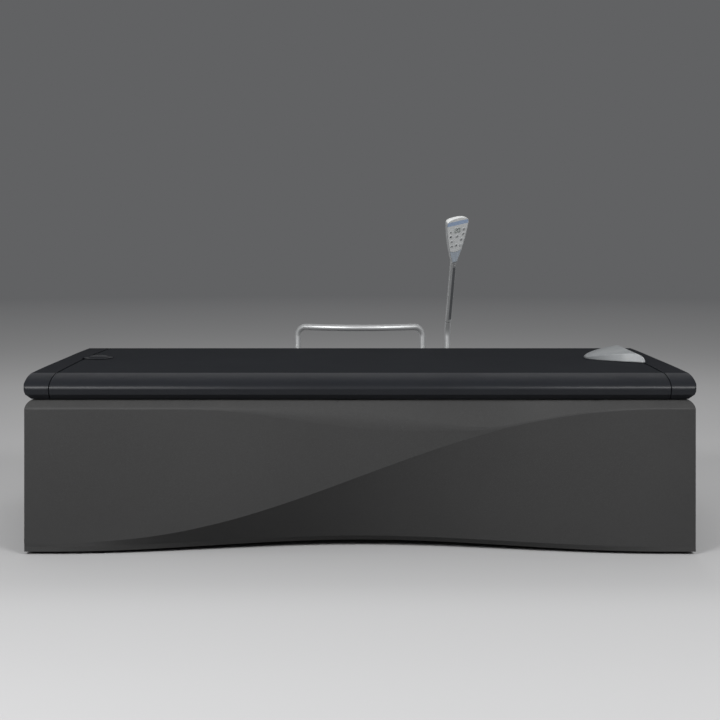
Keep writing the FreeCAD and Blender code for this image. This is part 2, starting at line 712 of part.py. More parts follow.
def pod_gasket():
    """Seal under the pod, shaped to the crown of the lid."""
    floor = LID_TOP + GASKET_HEIGHT - LID_CROWN / 2
    tail_x = POD_TAIL_X - GASKET_INSET
    y = POD_HALF_WIDTH - GASKET_INSET
    tip = POD_TIP_X + GASKET_INSET
    low = LYING_HEIGHT
    nose = curve([V(tail_x, y, low), V(2 * tip - tail_x, 0, low), V(tail_x, -y, low)])
    plan = face_of([nose, line(V(tail_x, -y, low), V(tail_x, y, low))])
    gasket = plan.extrude(UP * (floor - low)).cut(crown_form(HALF_LENGTH, CREASE_Y))
    for place in pod_screw_places():
        foot = V(place.x, place.y, low)
        gasket = gasket.cut(rod(SCREW_HOLE, foot, foot + UP * (floor - low)))
    return gasket


def pod_screw_places():
    middle = POD_TIP_X + POD_LENGTH / 3
    back = POD_TIP_X + POD_LENGTH * 2 / 3
    return [V(middle, 0, 0), V(back, -POD_HALF_WIDTH / 2, 0), V(back, POD_HALF_WIDTH / 2, 0)]


def pod_screws():
    reach = LID_TOP + GASKET_HEIGHT - LID_CROWN / 2 + POD_SCREW_REACH - FLANGE_UNDERSIDE
    return Part.Compound([screw_from_below(p, FLANGE_UNDERSIDE, reach) for p in pod_screw_places()])


# Base panels

def base_end_form(inset):
    """The base seen from its long side, with rounded upper corners, as a block through its depth."""
    x = BASE_HALF_LENGTH - inset
    top = BASE_TOP - inset
    radius = BASE_END_ROUND - inset
    turn = radius * (1 - math.sin(math.radians(45)))
    y = -BASE_HALF_DEPTH - TRIM
    edges = [
        line(V(-x, y, -TRIM), V(-x, y, top - radius)),
        arc(V(-x, y, top - radius), V(-x + turn, y, top - turn), V(-x + radius, y, top)),
        line(V(-x + radius, y, top), V(x - radius, y, top)),
        arc(V(x - radius, y, top), V(x - turn, y, top - turn), V(x, y, top - radius)),
        line(V(x, y, top - radius), V(x, y, -TRIM)),
        line(V(x, y, -TRIM), V(-x, y, -TRIM)),
    ]
    return face_of(edges).extrude(BACK * 2 * abs(y))


def front_section(x, inset):
    """Section of the sculpted panel at x.

    Below the crease the face leans back to a foot that lies deepest in the middle, and runs on past the
    top. With an inset, the same line lies that far behind the face and runs on past the panel's foot and
    its back too, so that cutting it away leaves a wall.
    """
    share = swell(x, RECESS_REACH)
    face = -BASE_HALF_DEPTH + inset
    top = BASE_TOP - inset
    bottom = BASE_BOTTOM + ARCH_RISE * share
    recess = RECESS * share
    roll = min(ROLL_UNDER * math.sqrt(share), recess)
    knee = V(x, face + recess - roll, bottom + BAND_HEIGHT)
    foot = V(x, face + recess + roll * inset / BAND_HEIGHT, bottom - inset)

    along = (x + BASE_HALF_LENGTH) / (2 * BASE_HALF_LENGTH)
    crease_z = SWEEP_LOW + (SWEEP_HIGH - SWEEP_LOW) * smoother(along)
    fall = SHOULDER_FALL * smoother((x - SHOULDER_FROM) / (SHOULDER_TO - SHOULDER_FROM))
    shoulder_z = max(crease_z + SHOULDER_STRIP, CHAMFER_Z - fall)
    soft = CRISP_EDGE + (SOFT_EDGE - CRISP_EDGE) * swell(x - SOFT_MIDDLE, SOFT_REACH)
    soft = min(soft, (shoulder_z - crease_z) * SOFT_SHARE)
    crease = V(x, face, crease_z)
    shoulder = V(x, face, shoulder_z)
    brow = V(x, face + CHAMFER_RUN, top)
    before = shoulder - UP * soft
    rising = V(brow).sub(shoulder).normalize()
    after = shoulder + rising * soft
    past_brow = brow + (brow - after) * OVERRUN
    far_brow = V(x, face + PANEL_RETURN, top)
    far_crease = V(x, face + PANEL_RETURN, crease_z)
    far_top = far_brow + (far_brow - far_crease) * OVERRUN
    far_foot = foot + BACK * PANEL_RETURN
    return Part.Wire([
        line(foot, knee),
        line(knee, crease),
        line(crease, before),
        curve([before, shoulder, after]),
        line(after, past_brow),
        line(past_brow, far_top),
        line(far_top, far_crease),
        line(far_crease, far_foot),
        line(far_foot, foot),
    ])


def front_panel():
    """Moulded front panel: a toe space that opens under a crease, which sweeps up to the head end."""
    reach = BASE_HALF_LENGTH + TRIM

    def body(inset):
        xs = [-reach + 2 * reach * i / (STATIONS - 1) for i in range(STATIONS)]
        loft = Part.makeLoft([front_section(x, inset) for x in xs], True, False)
        return loft.common(base_end_form(inset))

    return body(0.0).cut(body(PANEL_WALL))


def plain_section(inset):
    """Section of the plain rear panel, looking along the bed."""
    face = BASE_HALF_DEPTH - inset
    back = BASE_HALF_DEPTH - PANEL_RETURN - inset
    top = BASE_TOP - inset
    bottom = BASE_BOTTOM - inset
    return [
        V(0, face, bottom),
        V(0, face, CHAMFER_Z - inset / 2),
        V(0, face - CHAMFER_RUN, top),
        V(0, back, top),
        V(0, back, bottom),
    ]


def rear_panel():
    """Plain rear panel with vent slots, the frame's stubs and the mains inlet coming through it."""
    reach = BASE_HALF_LENGTH + TRIM

    def body(inset):
        bar = prism(plain_section(inset), HEADWARD * 2 * reach)
        bar.translate(V(-reach, 0, 0))
        return bar.common(base_end_form(inset))

    panel = body(0.0).cut(body(PANEL_WALL))
    inner = BASE_HALF_DEPTH - 2 * PANEL_WALL
    for i in range(VENT_COUNT):
        x = VENT_X + VENT_PITCH * (i - (VENT_COUNT - 1) / 2)
        slot = rounded_slot(x, VENT_Z, VENT_WIDTH, VENT_HEIGHT)
        panel = panel.cut(slot)
    for x in stub_places():
        w = STUB_WIDTH / 2 + STUB_GAP
        h = STUB_HEIGHT / 2 + STUB_GAP
        panel = panel.cut(block(x - w, x + w, inner, HALF_DEPTH, STUB_Z - h, STUB_Z + h))
    w = INLET_WIDTH / 2
    h = INLET_HEIGHT / 2
    return panel.cut(block(INLET_X - w, INLET_X + w, inner, HALF_DEPTH, INLET_Z - h, INLET_Z + h))


def rounded_slot(x, z, width, height):
    """An upright slot with round ends, through the rear panel."""
    y = BASE_HALF_DEPTH - 2 * PANEL_WALL
    r = width / 2
    reach = height / 2 - r
    deep = BACK * 3 * PANEL_WALL
    bar = block(x - r, x + r, y, y + deep.y, z - reach, z + reach)
    ends = [rod(r, V(x, y, z + s * reach), V(x, y, z + s * reach) + deep) for s in (-1, 1)]
    return joined([bar] + ends)


def end_panel(side):
    """Base end between the long panels, with a rounded upper edge and a return over the top."""
    y = BASE_HALF_DEPTH - PANEL_RETURN - PANEL_GAP
    reach = BASE_HALF_LENGTH - PANEL_RETURN
    solid = base_end_form(0.0).cut(base_end_form(PANEL_WALL))
    window = block(reach, BASE_HALF_LENGTH, -y, y, BASE_BOTTOM, BASE_TOP)
    panel = solid.common(window)
    return panel if side > 0 else panel.mirror(V(0, 0, 0), HEADWARD)


# Frame, tray and feet

def member(a, b):
    """Outside and inside of a square tube between two points on one axis."""
    half = FRAME_TUBE / 2
    low = V(min(a.x, b.x), min(a.y, b.y), min(a.z, b.z))
    high = V(max(a.x, b.x), max(a.y, b.y), max(a.z, b.z))
    inner = half - FRAME_WALL
    outside = block(low.x - half, high.x + half, low.y - half, high.y + half, low.z - half, high.z + half)
    inside = block(low.x - inner, high.x + inner, low.y - inner, high.y + inner,
                   low.z - inner, high.z + inner)
    return outside, inside


def stub_places():
    """Where the frame reaches out to carry the handle and the control post."""
    return [-HANDLE_HALF_SPAN, HANDLE_HALF_SPAN, POST_POSITION]


def foot_places():
    """Feet at the corners and two more under the cross members."""
    corners = [V(x, y, 0) for x in (-FOOT_X, FOOT_X) for y in (-SILL_HALF_DEPTH, SILL_HALF_DEPTH)]
    return corners + [V(-POST_X, 0, 0), V(POST_X, 0, 0)]


def base_frame():
    """Welded frame of square tube with stubs for the sockets and threaded seats for the feet."""
    half = FRAME_TUBE / 2
    low = FRAME_BOTTOM + half
    high = LEDGE_UNDERSIDE - half
    cradle = TUB_UNDERSIDE - half
    x = FRAME_HALF_LENGTH
    y = FRAME_HALF_DEPTH
    sill = SILL_HALF_DEPTH
    spans = []
    for side in (-1, 1):
        spans.append((V(-x, side * y, high), V(x, side * y, high)))
        spans.append((V(-x, side * sill, low), V(x, side * sill, low)))
        spans += [(V(p, side * y, low), V(p, side * y, high)) for p in (-x, x)]
        spans += [(V(p, side * y, cradle), V(p, side * y, high)) for p in (-POST_X, POST_X)]
        spans += [(V(p, side * sill, low), V(p, side * sill, cradle)) for p in (-POST_X, POST_X)]
    for end in (-x, x):
        spans += [(V(end, -y, z), V(end, y, z)) for z in (low, high)]
    for p in (-POST_X, POST_X):
        spans += [(V(p, -sill, low), V(p, sill, low)), (V(p, -y, cradle), V(p, y, cradle))]
    spans.append((V(-POST_X, y, STUB_Z), V(x, y, STUB_Z)))
    tubes = [member(a, b) for a, b in spans]
    frame = joined([t[0] for t in tubes]).cut(tubes[0][1].multiFuse([t[1] for t in tubes[1:]]))

    w = STUB_WIDTH / 2
    h = STUB_HEIGHT / 2
    stubs = [block(p - w, p + w, FRAME_OUTER_Y, BASE_HALF_DEPTH, STUB_Z - h, STUB_Z + h)
             for p in stub_places()]
    seats = [rod(2 * SPINDLE_RADIUS, p + UP * FRAME_BOTTOM, p + UP * low) for p in foot_places()]
    frame = joined([frame] + stubs + seats)
    for p in foot_places():
        frame = frame.cut(rod(SPINDLE_RADIUS, p, p + UP * SPINDLE_TOP))
    for bolt in bolt_places():
        frame = frame.cut(rod(BOLT_RADIUS, bolt, bolt + FRONT * BOLT_BITE))
    return frame


def base_tray():
    """Sheet under the frame with a turned-down edge, which closes the base from below."""
    x = BASE_HALF_LENGTH - PANEL_WALL - TRAY_GAP
    front = TRAY_INSET - SILL_HALF_DEPTH - FRAME_TUBE / 2
    rear = BASE_HALF_DEPTH - PANEL_WALL - TRAY_GAP
    low = TRAY_TOP - TRAY_FLANGE
    sheet = TRAY_SHEET
    tray = block(-x, x, front, rear, low, TRAY_TOP)
    tray = tray.cut(block(sheet - x, x - sheet, front + sheet, rear - sheet, low, TRAY_TOP - sheet))
    for p in foot_places():
        tray = tray.cut(rod(SPINDLE_RADIUS, p, p + UP * SPINDLE_TOP))
    return tray


def foot_pads():
    """Turned pads with a tapered shoulder and a blind hole for the spindle."""
    def pad(p):
        body = rod(FOOT_RADIUS, p, p + UP * FOOT_HEIGHT / 2)
        top = Part.makeCone(FOOT_RADIUS, FOOT_WAIST, FOOT_HEIGHT / 2, p + UP * FOOT_HEIGHT / 2, UP)
        hole = rod(SPINDLE_RADIUS, p + UP * SPINDLE_SOCKET, p + UP * FOOT_HEIGHT)
        return joined([body, top]).cut(hole)

    return Part.Compound([pad(p) for p in foot_places()])


def foot_spindles():
    high = FRAME_BOTTOM + FRAME_TUBE / 2
    return Part.Compound([rod(SPINDLE_RADIUS, p + UP * SPINDLE_SOCKET, p + UP * high)
                          for p in foot_places()])


def foot_locknuts():
    low = TRAY_TOP - TRAY_SHEET - NUT_HEIGHT
    return Part.Compound([hexagon_nut(p + UP * low, NUT_HEIGHT, SPINDLE_RADIUS) for p in foot_places()])


def panel_brackets():
    """Angles on the frame's upper members that carry the panels' top returns."""
    seat = BASE_TOP - PANEL_WALL
    low = seat - BRACKET_SHEET
    high = low + BRACKET_HEIGHT

    def angle(reach):
        section = [V(0, 0, low), V(0, reach, low), V(0, reach, seat), V(0, BRACKET_SHEET, seat),
                   V(0, BRACKET_SHEET, high), V(0, 0, high)]
        return prism(section, HEADWARD * BRACKET_WIDTH)

    brackets = []
    long_reach = BASE_HALF_DEPTH - CHAMFER_RUN - PANEL_WALL - PANEL_GAP - FRAME_OUTER_Y
    outermost = FRAME_HALF_LENGTH - BRACKET_SETBACK
    for i in range(BRACKETS_LONG):
        x = outermost * (2 * i / (BRACKETS_LONG - 1) - 1)
        piece = angle(long_reach)
        piece.translate(V(x - BRACKET_WIDTH / 2, FRAME_OUTER_Y, 0))
        brackets += [piece, piece.mirror(V(0, 0, 0), BACK)]
    frame_end = FRAME_HALF_LENGTH + FRAME_TUBE / 2
    end_reach = BASE_HALF_LENGTH - BASE_END_ROUND - frame_end
    for y in (-FRAME_HALF_DEPTH / 2, FRAME_HALF_DEPTH / 2):
        piece = angle(end_reach)
        piece.rotate(V(0, 0, 0), UP, -90)
        piece.translate(V(frame_end, y + BRACKET_WIDTH / 2, 0))
        brackets += [piece, piece.mirror(V(0, 0, 0), HEADWARD)]
    return Part.Compound(brackets)


# Tub

def water_tub():
    """Moulded tub with a stepped flange: a seat for the mat and a ledge that hangs on the frame."""
    wall = TUB_WALL
    x = FLANGE_HALF_LENGTH
    y = FLANGE_HALF_DEPTH
    ledge = block(-x, x, -y, y, LEDGE_UNDERSIDE, LEDGE_TOP)
    seat = block(-STEP_X, STEP_X, -STEP_Y, STEP_Y, LEDGE_UNDERSIDE, FLANGE_TOP)
    x = STEP_X - wall
    y = STEP_Y - wall
    flange = joined([ledge, seat]).cut(block(-x, x, -y, y, LEDGE_UNDERSIDE, FLANGE_UNDERSIDE))
    shell = rounded_block(POOL_FOOT_X - wall, POOL_HEAD_X + wall, -POOL_HALF_DEPTH - wall,
                          POOL_HALF_DEPTH + wall, TUB_UNDERSIDE, FLANGE_TOP, POOL_CORNER + wall)
    pool = rounded_block(POOL_FOOT_X, POOL_HEAD_X, -POOL_HALF_DEPTH, POOL_HALF_DEPTH,
                         POOL_FLOOR, FLANGE_TOP, POOL_CORNER)
    tub = joined([flange, shell]).cut(pool)
    for place in lid_screw_places() + pod_screw_places():
        foot = V(place.x, place.y, LEDGE_UNDERSIDE)
        tub = tub.cut(rod(SCREW_HOLE, foot, V(place.x, place.y, FLANGE_TOP)))
    holes = [(V(DRIVE_X, 0, 0), SEAL_RING), (V(SUCTION_X, pump_y(), 0), PIPE_RADIUS),
             (V(PUMP_X, HOSE_FRONT_Y, 0), PIPE_RADIUS)]
    for place, radius in holes:
        tub = tub.cut(rod(radius, place + UP * TUB_UNDERSIDE, place + UP * POOL_FLOOR))
    return tub


# Handle and sockets

def grab_handle():
    """Bent tube: two legs, two bends and a bar that bows to the front."""
    bow = math.radians(HANDLE_BOW)
    bend = HANDLE_BEND
    axis_z = HANDLE_TOP - HANDLE_TUBE / 2
    foot_z = SOCKET_LOW + SOCKET_FLOOR
    half = math.sin(math.radians(45))

    def bend_point(side, run, rise):
        x = HANDLE_HALF_SPAN - bend * run * math.cos(bow)
        return V(side * x, LEG_Y - bend * run * math.sin(bow), axis_z - bend + bend * rise)

    chord = HANDLE_HALF_SPAN - bend * math.cos(bow)
    sagitta = chord / math.sin(bow) * (1 - math.cos(bow))
    middle = V(0, LEG_Y - bend * math.sin(bow) - sagitta, axis_z)
    path = [
        line(V(-HANDLE_HALF_SPAN, LEG_Y, foot_z), bend_point(-1, 0, 0)),
        arc(bend_point(-1, 0, 0), bend_point(-1, 1 - half, half), bend_point(-1, 1, 1)),
        arc(bend_point(-1, 1, 1), middle, bend_point(1, 1, 1)),
        arc(bend_point(1, 1, 1), bend_point(1, 1 - half, half), bend_point(1, 0, 0)),
        line(bend_point(1, 0, 0), V(HANDLE_HALF_SPAN, LEG_Y, foot_z)),
    ]
    return swept(HANDLE_TUBE / 2, path)


def bolt_places():
    """Seats of the bolts that hold the sockets, on the frame's stubs."""
    return [V(x + s * BOLT_SPREAD, BASE_HALF_DEPTH, STUB_Z) for x in stub_places() for s in (-1, 1)]


def socket_at(x, tube):
    """Sleeve on a plate, closed below, that holds an upright tube."""
    plate_y = BASE_HALF_DEPTH
    half = SOCKET_PLATE_WIDTH / 2
    plate = rounded_plate(x, half, plate_y)
    centre = V(x, LEG_Y, 0)
    sleeve = rod(SOCKET_RADIUS, centre + UP * SOCKET_LOW, centre + UP * SOCKET_HIGH)
    web = block(x - SOCKET_RADIUS, x + SOCKET_RADIUS, plate_y, LEG_Y, SOCKET_LOW, SOCKET_HIGH)
    bore = rod(tube / 2 + TUBE_FIT, centre + UP * (SOCKET_LOW + SOCKET_FLOOR), centre + UP * SOCKET_HIGH)
    body = joined([plate, web, sleeve]).cut(bore)
    for bolt in bolt_places():
        body = body.cut(rod(BOLT_RADIUS, bolt, bolt + BACK * SOCKET_PLATE_SHEET))
    return body


def rounded_plate(x, half, y):
    """Socket plate with rounded corners, flat on the panel."""
    body = block(x - half, x + half, y, y + SOCKET_PLATE_SHEET, SOCKET_LOW, SOCKET_HIGH)
    corners = [e for e in body.Edges if abs(e.tangentAt(e.FirstParameter).y) > 0.5]
    return body.makeFillet(SOCKET_PLATE_SHEET, corners)


def handle_sockets():
    return Part.Compound([socket_at(s * HANDLE_HALF_SPAN, HANDLE_TUBE) for s in (-1, 1)])


def stem_socket():
    return socket_at(POST_POSITION, POST_TUBE)


def socket_bolts():
    """Button-head bolts through the socket plates into the stubs."""
    def bolt(seat):
        face = seat + BACK * SOCKET_PLATE_SHEET
        head = rod(BOLT_HEAD, face, face + BACK * BOLT_HEAD_HEIGHT)
        return joined([head, rod(BOLT_RADIUS, seat + FRONT * BOLT_BITE, face)])

    return Part.Compound([bolt(p) for p in bolt_places()])


# Control post, arm and head

def lean_direction():
    """Level direction in which the arm leans."""
    a = math.radians(ARM_AZIMUTH)
    return V(math.sin(a), -math.cos(a), 0)


def arm_direction():
    lean = math.radians(ARM_LEAN)
    return lean_direction() * math.sin(lean) + UP * math.cos(lean)


def post_path():
    """Axis of the post: upright, then bent over to the arm's direction."""
    lean = math.radians(ARM_LEAN)
    start = V(POST_POSITION, LEG_Y, SOCKET_LOW + SOCKET_FLOOR)
    bend = V(POST_POSITION, LEG_Y, POST_BEND_Z)

    def turned(angle):
        out = lean_direction() * (POST_BEND * (1 - math.cos(angle)))
        return bend + out + UP * (POST_BEND * math.sin(angle))

    end = turned(lean)
    top = end + arm_direction() * ((RING_Z - end.z) / math.cos(lean))
    return [line(start, bend), arc(bend, turned(lean / 2), end), line(end, top)], top


def on_post(shape):
    """Moves a shape drawn upright on the origin, facing the front, to the top of the post."""
    _, top = post_path()
    shape = shape.copy()
    shape.rotate(V(0, 0, 0), UP, ARM_TWIST)
    shape.rotate(V(0, 0, 0), UP.cross(lean_direction()), ARM_LEAN)
    shape.translate(top)
    return shape


def stem_post():
    """Bent tube that stands in its socket; its open top takes the swivel bush."""
    path, _ = post_path()
    bore = bush_outer()
    hole = rod(bore, DOWN * BUSH_DEPTH, V(0, 0, 0))
    return swept(POST_TUBE / 2, path).cut(on_post(hole))


def bush_outer():
    return POST_TUBE / 2 - POST_WALL


def swivel_bush():
    """Flanged bush in the post, on which the arm turns."""
    sleeve = rod(bush_outer(), DOWN * BUSH_DEPTH, V(0, 0, 0))
    flange = rod(POST_TUBE / 2 - BUSH_WALL / 2, V(0, 0, 0), UP * BUSH_FLANGE)
    bore = rod(bush_outer() - BUSH_WALL, DOWN * BUSH_DEPTH, UP * BUSH_FLANGE)
    return on_post(joined([sleeve, flange]).cut(bore))


def arm_groove(width, low, high):
    """Channel in the front of the arm, or the strip that fills it."""
    r = ARM_TUBE / 2
    return block(-width / 2, width / 2, -2 * r, -r + GROOVE_DEPTH, low, high)


def stem_arm():
    """Arm with a spigot in the bush, a front groove and a tenon in the head."""
    foot = BUSH_FLANGE + RUN_GAP
    spigot = bush_outer() - BUSH_WALL - SPIGOT_FIT
    shaft = rod(ARM_TUBE / 2, UP * foot, UP * ARM_LENGTH)
    pin = rod(spigot, DOWN * (BUSH_DEPTH - RUN_GAP), UP * foot)
    arm = joined([shaft, pin]).cut(arm_groove(GROOVE_WIDTH, GROOVE_START, ARM_LENGTH))
    r = ARM_TUBE
    behind_foil = FOIL_THICKNESS - HEAD_FACE
    return on_post(arm.cut(block(-r, r, -r, behind_foil, HEAD_START, HEAD_START + r)))


def arm_strip():
    """Cover strip in the groove, flush with the round of the arm."""
    bar = arm_groove(GROOVE_WIDTH - 2 * STRIP_GAP, GROOVE_START + STRIP_GAP, STRIP_END)
    return on_post(bar.common(rod(ARM_TUBE / 2, UP * GROOVE_START, UP * ARM_LENGTH)))


def head_outline(margin):
    """Shield-shaped outline of the head, in the plane of its face."""
    tip = HEAD_START + margin
    top = HEAD_START + HEAD_LENGTH - margin
    waist = HEAD_START + HEAD_WAIST
    shoulder = HEAD_START + HEAD_SHOULDER
    tip_x = HEAD_TIP_WIDTH / 2 - margin
    waist_x = HEAD_WAIST_WIDTH / 2 - margin
    wide_x = HEAD_WIDTH / 2 - margin
    crown = [V(wide_x, 0, shoulder), V(wide_x, 0, shoulder + HEAD_CROWN), V(wide_x / 2, 0, top)]
    mirrored = [V(-p.x, 0, p.z) for p in reversed(crown)]
    return [
        line(V(-tip_x, 0, tip), V(tip_x, 0, tip)),
        arc(V(tip_x, 0, tip), V(waist_x, 0, waist), V(wide_x, 0, shoulder)),
        curve(crown + mirrored),
        arc(V(-wide_x, 0, shoulder), V(-waist_x, 0, waist), V(-tip_x, 0, tip)),
    ]


def head_slab(margin, front, back):
    """The outline as a slab between two distances in front of the arm's axis."""
    face = face_of(head_outline(margin))
    face.translate(FRONT * front)
    return face.extrude(BACK * (front - back))


def head_body():
    """Outside of the head: flat in front, drawn in towards its back."""
    steps = [(0.0, 0.0), (0.45, HEAD_SIDE_ROUND), (0.8, HEAD_BACK_ROUND / 2), (1.0, HEAD_BACK_ROUND)]
    sections = []
    for share, margin in steps:
        wire = Part.Wire(head_outline(margin))
        wire.translate(FRONT * (HEAD_FACE - HEAD_THICKNESS * share))
        sections.append(wire)
    return Part.makeLoft(sections, True, False)


def head_hollow():
    """Room for the circuit board behind the keypad."""
    back = HEAD_FACE - HEAD_THICKNESS
    room = head_slab(HEAD_WALL + FOIL_MARGIN + HEAD_BACK_ROUND / 2, HEAD_FACE, back + HEAD_WALL)
    keep = ARM_LENGTH + HEAD_WALL
    tall = HEAD_START + CAP_SEAM - HEAD_WALL
    wide = HEAD_WIDTH / 2
    return room.common(block(-wide, wide, -HEAD_FACE, HEAD_THICKNESS, keep, tall))


def cap_half():
    """Everything of the head that belongs to its bright upper cap."""
    wide = HEAD_WIDTH
    low = HEAD_START + CAP_SEAM
    return block(-wide, wide, -HEAD_WIDTH, HEAD_WIDTH, low, low + HEAD_LENGTH)


def head_shell():
    """Shell of the head with a socket for the arm, a seat for the foil and room for the board."""
    shell = head_body().cut(cap_half()).cut(head_hollow())
    foil_seat = head_slab(FOIL_MARGIN, HEAD_FACE, HEAD_FACE - FOIL_THICKNESS)
    shell = shell.cut(foil_seat)
    socket = rod(ARM_TUBE / 2, UP * (HEAD_START - HEAD_WALL), UP * ARM_LENGTH)
    return on_post(shell.cut(socket))


def head_cap():
    return on_post(head_body().common(cap_half()))


def window_block(front, back):
    w = WINDOW_WIDTH / 2
    z = HEAD_START + WINDOW_Z
    h = WINDOW_HEIGHT / 2
    return block(-w, w, -front, -back, z - h, z + h)


def keypad_foil():
    """Membrane keypad with a window for the display."""
    foil = head_slab(FOIL_MARGIN, HEAD_FACE, HEAD_FACE - FOIL_THICKNESS).cut(cap_half())
    return on_post(foil.cut(window_block(HEAD_FACE, HEAD_FACE - FOIL_THICKNESS)))


def display_window():
    return on_post(window_block(HEAD_FACE + WINDOW_PROUD, HEAD_FACE - FOIL_THICKNESS))


def circuit_board():
    """Board that stands behind the foil, on the floor of the shell's room."""
    w = BOARD_WIDTH / 2
    z = HEAD_START + BOARD_Z
    h = BOARD_HEIGHT / 2
    back = HEAD_FACE - HEAD_THICKNESS + HEAD_WALL
    return on_post(block(-w, w, -back - BOARD_THICKNESS, -back, z - h, z + h))


# Jet carriage

def rail_ends():
    return POOL_FOOT_X + RAIL_END_GAP, POOL_HEAD_X - RAIL_END_GAP


def guide_rails():
    low, high = rail_ends()
    return Part.Compound([rod(RAIL_RADIUS, V(low, y, RAIL_Z), V(high, y, RAIL_Z))
                          for y in (-RAIL_SPREAD, RAIL_SPREAD)])


def rail_brackets():
    """Pedestals on the tub's floor with a round saddle over each rail end."""
    low, high = rail_ends()
    half = PEDESTAL_WIDTH / 2

    def pedestal(x, y):
        crown = RAIL_Z + PEDESTAL_CAP
        edges = [
            line(V(x, y - half, POOL_FLOOR), V(x, y + half, POOL_FLOOR)),
            line(V(x, y + half, POOL_FLOOR), V(x, y + half, RAIL_Z)),
            arc(V(x, y + half, RAIL_Z), V(x, y, crown), V(x, y - half, RAIL_Z)),
            line(V(x, y - half, RAIL_Z), V(x, y - half, POOL_FLOOR)),
        ]
        body = face_of(edges).extrude(HEADWARD * PEDESTAL_LENGTH)
        return body.cut(rod(RAIL_RADIUS, V(x, y, RAIL_Z), V(x + PEDESTAL_LENGTH, y, RAIL_Z)))

    return Part.Compound([pedestal(x, y) for y in (-RAIL_SPREAD, RAIL_SPREAD)
                          for x in (low, high - PEDESTAL_LENGTH)])


def bearing_places():
    """Middles of the four linear bearings under the carriage."""
    return [V(CARRIAGE_PARKED_X + s * BEARING_SPREAD / 2, y, RAIL_Z)
            for s in (-1, 1) for y in (-RAIL_SPREAD, RAIL_SPREAD)]


def bush_radius():
    return RAIL_RADIUS + SLIDE_FIT + BUSHING_WALL


def hose_tail_x():
    return CARRIAGE_PARKED_X + CARRIAGE_LENGTH / 2


def jet_carriage():
    """Plate on four bearing blocks, with rotor pivots, a belt clamp and the hose inlet."""
    x = CARRIAGE_PARKED_X
    half = CARRIAGE_LENGTH / 2
    wide = CARRIAGE_WIDTH / 2
    top = CARRIAGE_Z + CARRIAGE_SHEET
    plate = rounded_block(x - half, x + half, -wide, wide, CARRIAGE_Z, top, CARRIAGE_ROUND)
    pieces = [plate]
    for p in bearing_places():
        length = BEARING_LENGTH / 2
        width = BEARING_WIDTH / 2
        pieces.append(block(p.x - length, p.x + length, p.y - width, p.y + width,
                            RAIL_Z - BEARING_BELOW, CARRIAGE_Z))
    for y in (-ROTOR_SPREAD, ROTOR_SPREAD):
        pieces.append(rod(PIVOT_RADIUS, V(x, y, top), V(x, y, ROTOR_Z)))
    clamp = CLAMP_LENGTH / 2
    run = PULLEY_RADIUS + BELT_GAP
    jaws = ((-run - BELT_THICKNESS - BELT_GAP - CLAMP_JAW, -run - BELT_THICKNESS - BELT_GAP),
            (-run + BELT_GAP, -run + BELT_GAP + CLAMP_JAW))
    for y0, y1 in jaws:
        pieces.append(block(x - clamp, x + clamp, y0, y1, BELT_Z - BELT_WIDTH / 2, CARRIAGE_Z))
    inlet = HOSE_RADIUS + HOSE_CLEARANCE / 2
    pieces.append(block(x, hose_tail_x(), HOSE_BACK_Y - inlet, HOSE_BACK_Y + inlet,
                        HOSE_Z - inlet, CARRIAGE_Z))
    body = joined(pieces)
    for p in bearing_places():
        reach = HEADWARD * BEARING_LENGTH
        body = body.cut(rod(bush_radius(), p - reach, p + reach))
    bore_end = V(hose_tail_x(), HOSE_BACK_Y, HOSE_Z)
    return body.cut(rod(HOSE_RADIUS - HOSE_WALL, bore_end + FOOTWARD * CARRIAGE_LENGTH / 4, bore_end))


def carriage_bushes():
    half = HEADWARD * BEARING_LENGTH / 2
    return Part.Compound([ring(bush_radius(), RAIL_RADIUS + SLIDE_FIT, p - half, p + half)
                          for p in bearing_places()])


def jet_rotor(y):
    """Rotor with two arms and a tapered nozzle at each end, on its pivot."""
    x = CARRIAGE_PARKED_X
    deck = CARRIAGE_Z + CARRIAGE_SHEET + RUN_GAP
    hub = rod(ROTOR_HUB, V(x, y, deck), V(x, y, ROTOR_Z + ROTOR_TUBE))
    pieces = [hub, rod(ROTOR_TUBE, V(x - ROTOR_ARM, y, ROTOR_Z), V(x + ROTOR_ARM, y, ROTOR_Z))]
    for s in (-1, 1):
        tip = V(x + s * (ROTOR_ARM - NOZZLE_RADIUS - NOZZLE_TIP), y, ROTOR_Z)
        pieces.append(Part.makeCone(NOZZLE_RADIUS, NOZZLE_TIP, NOZZLE_HEIGHT + ROTOR_TUBE, tip, UP))
    pivot = rod(PIVOT_RADIUS + SHAFT_FIT, V(x, y, CARRIAGE_Z), V(x, y, ROTOR_Z + RUN_GAP))
    return joined(pieces).cut(pivot)


# Belt drive

def drive_belt():
    """Closed belt round both pulleys, lying level."""
    def loop(radius):
        y = radius
        edges = [
            line(V(IDLER_X, -y, 0), V(DRIVE_X, -y, 0)),
            arc(V(DRIVE_X, -y, 0), V(DRIVE_X + y, 0, 0), V(DRIVE_X, y, 0)),
            line(V(DRIVE_X, y, 0), V(IDLER_X, y, 0)),
            arc(V(IDLER_X, y, 0), V(IDLER_X - y, 0, 0), V(IDLER_X, -y, 0)),
        ]
        return face_of(edges).extrude(UP * BELT_WIDTH)

    inner = PULLEY_RADIUS + BELT_GAP
    belt = loop(inner + BELT_THICKNESS).cut(loop(inner))
    belt.translate(UP * (BELT_Z - BELT_WIDTH / 2))
    return belt


def pulley_at(x):
    """Flanged pulley without its bore."""
    half = BELT_WIDTH / 2 + BELT_GAP
    centre = V(x, 0, BELT_Z)
    rim = rod(PULLEY_RADIUS, centre - UP * half, centre + UP * half)
    low = rod(PULLEY_FLANGE, centre - UP * (half + PULLEY_FLANGE_SHEET), centre - UP * half)
    high = rod(PULLEY_FLANGE, centre + UP * half, centre + UP * (half + PULLEY_FLANGE_SHEET))
    return joined([rim, low, high])


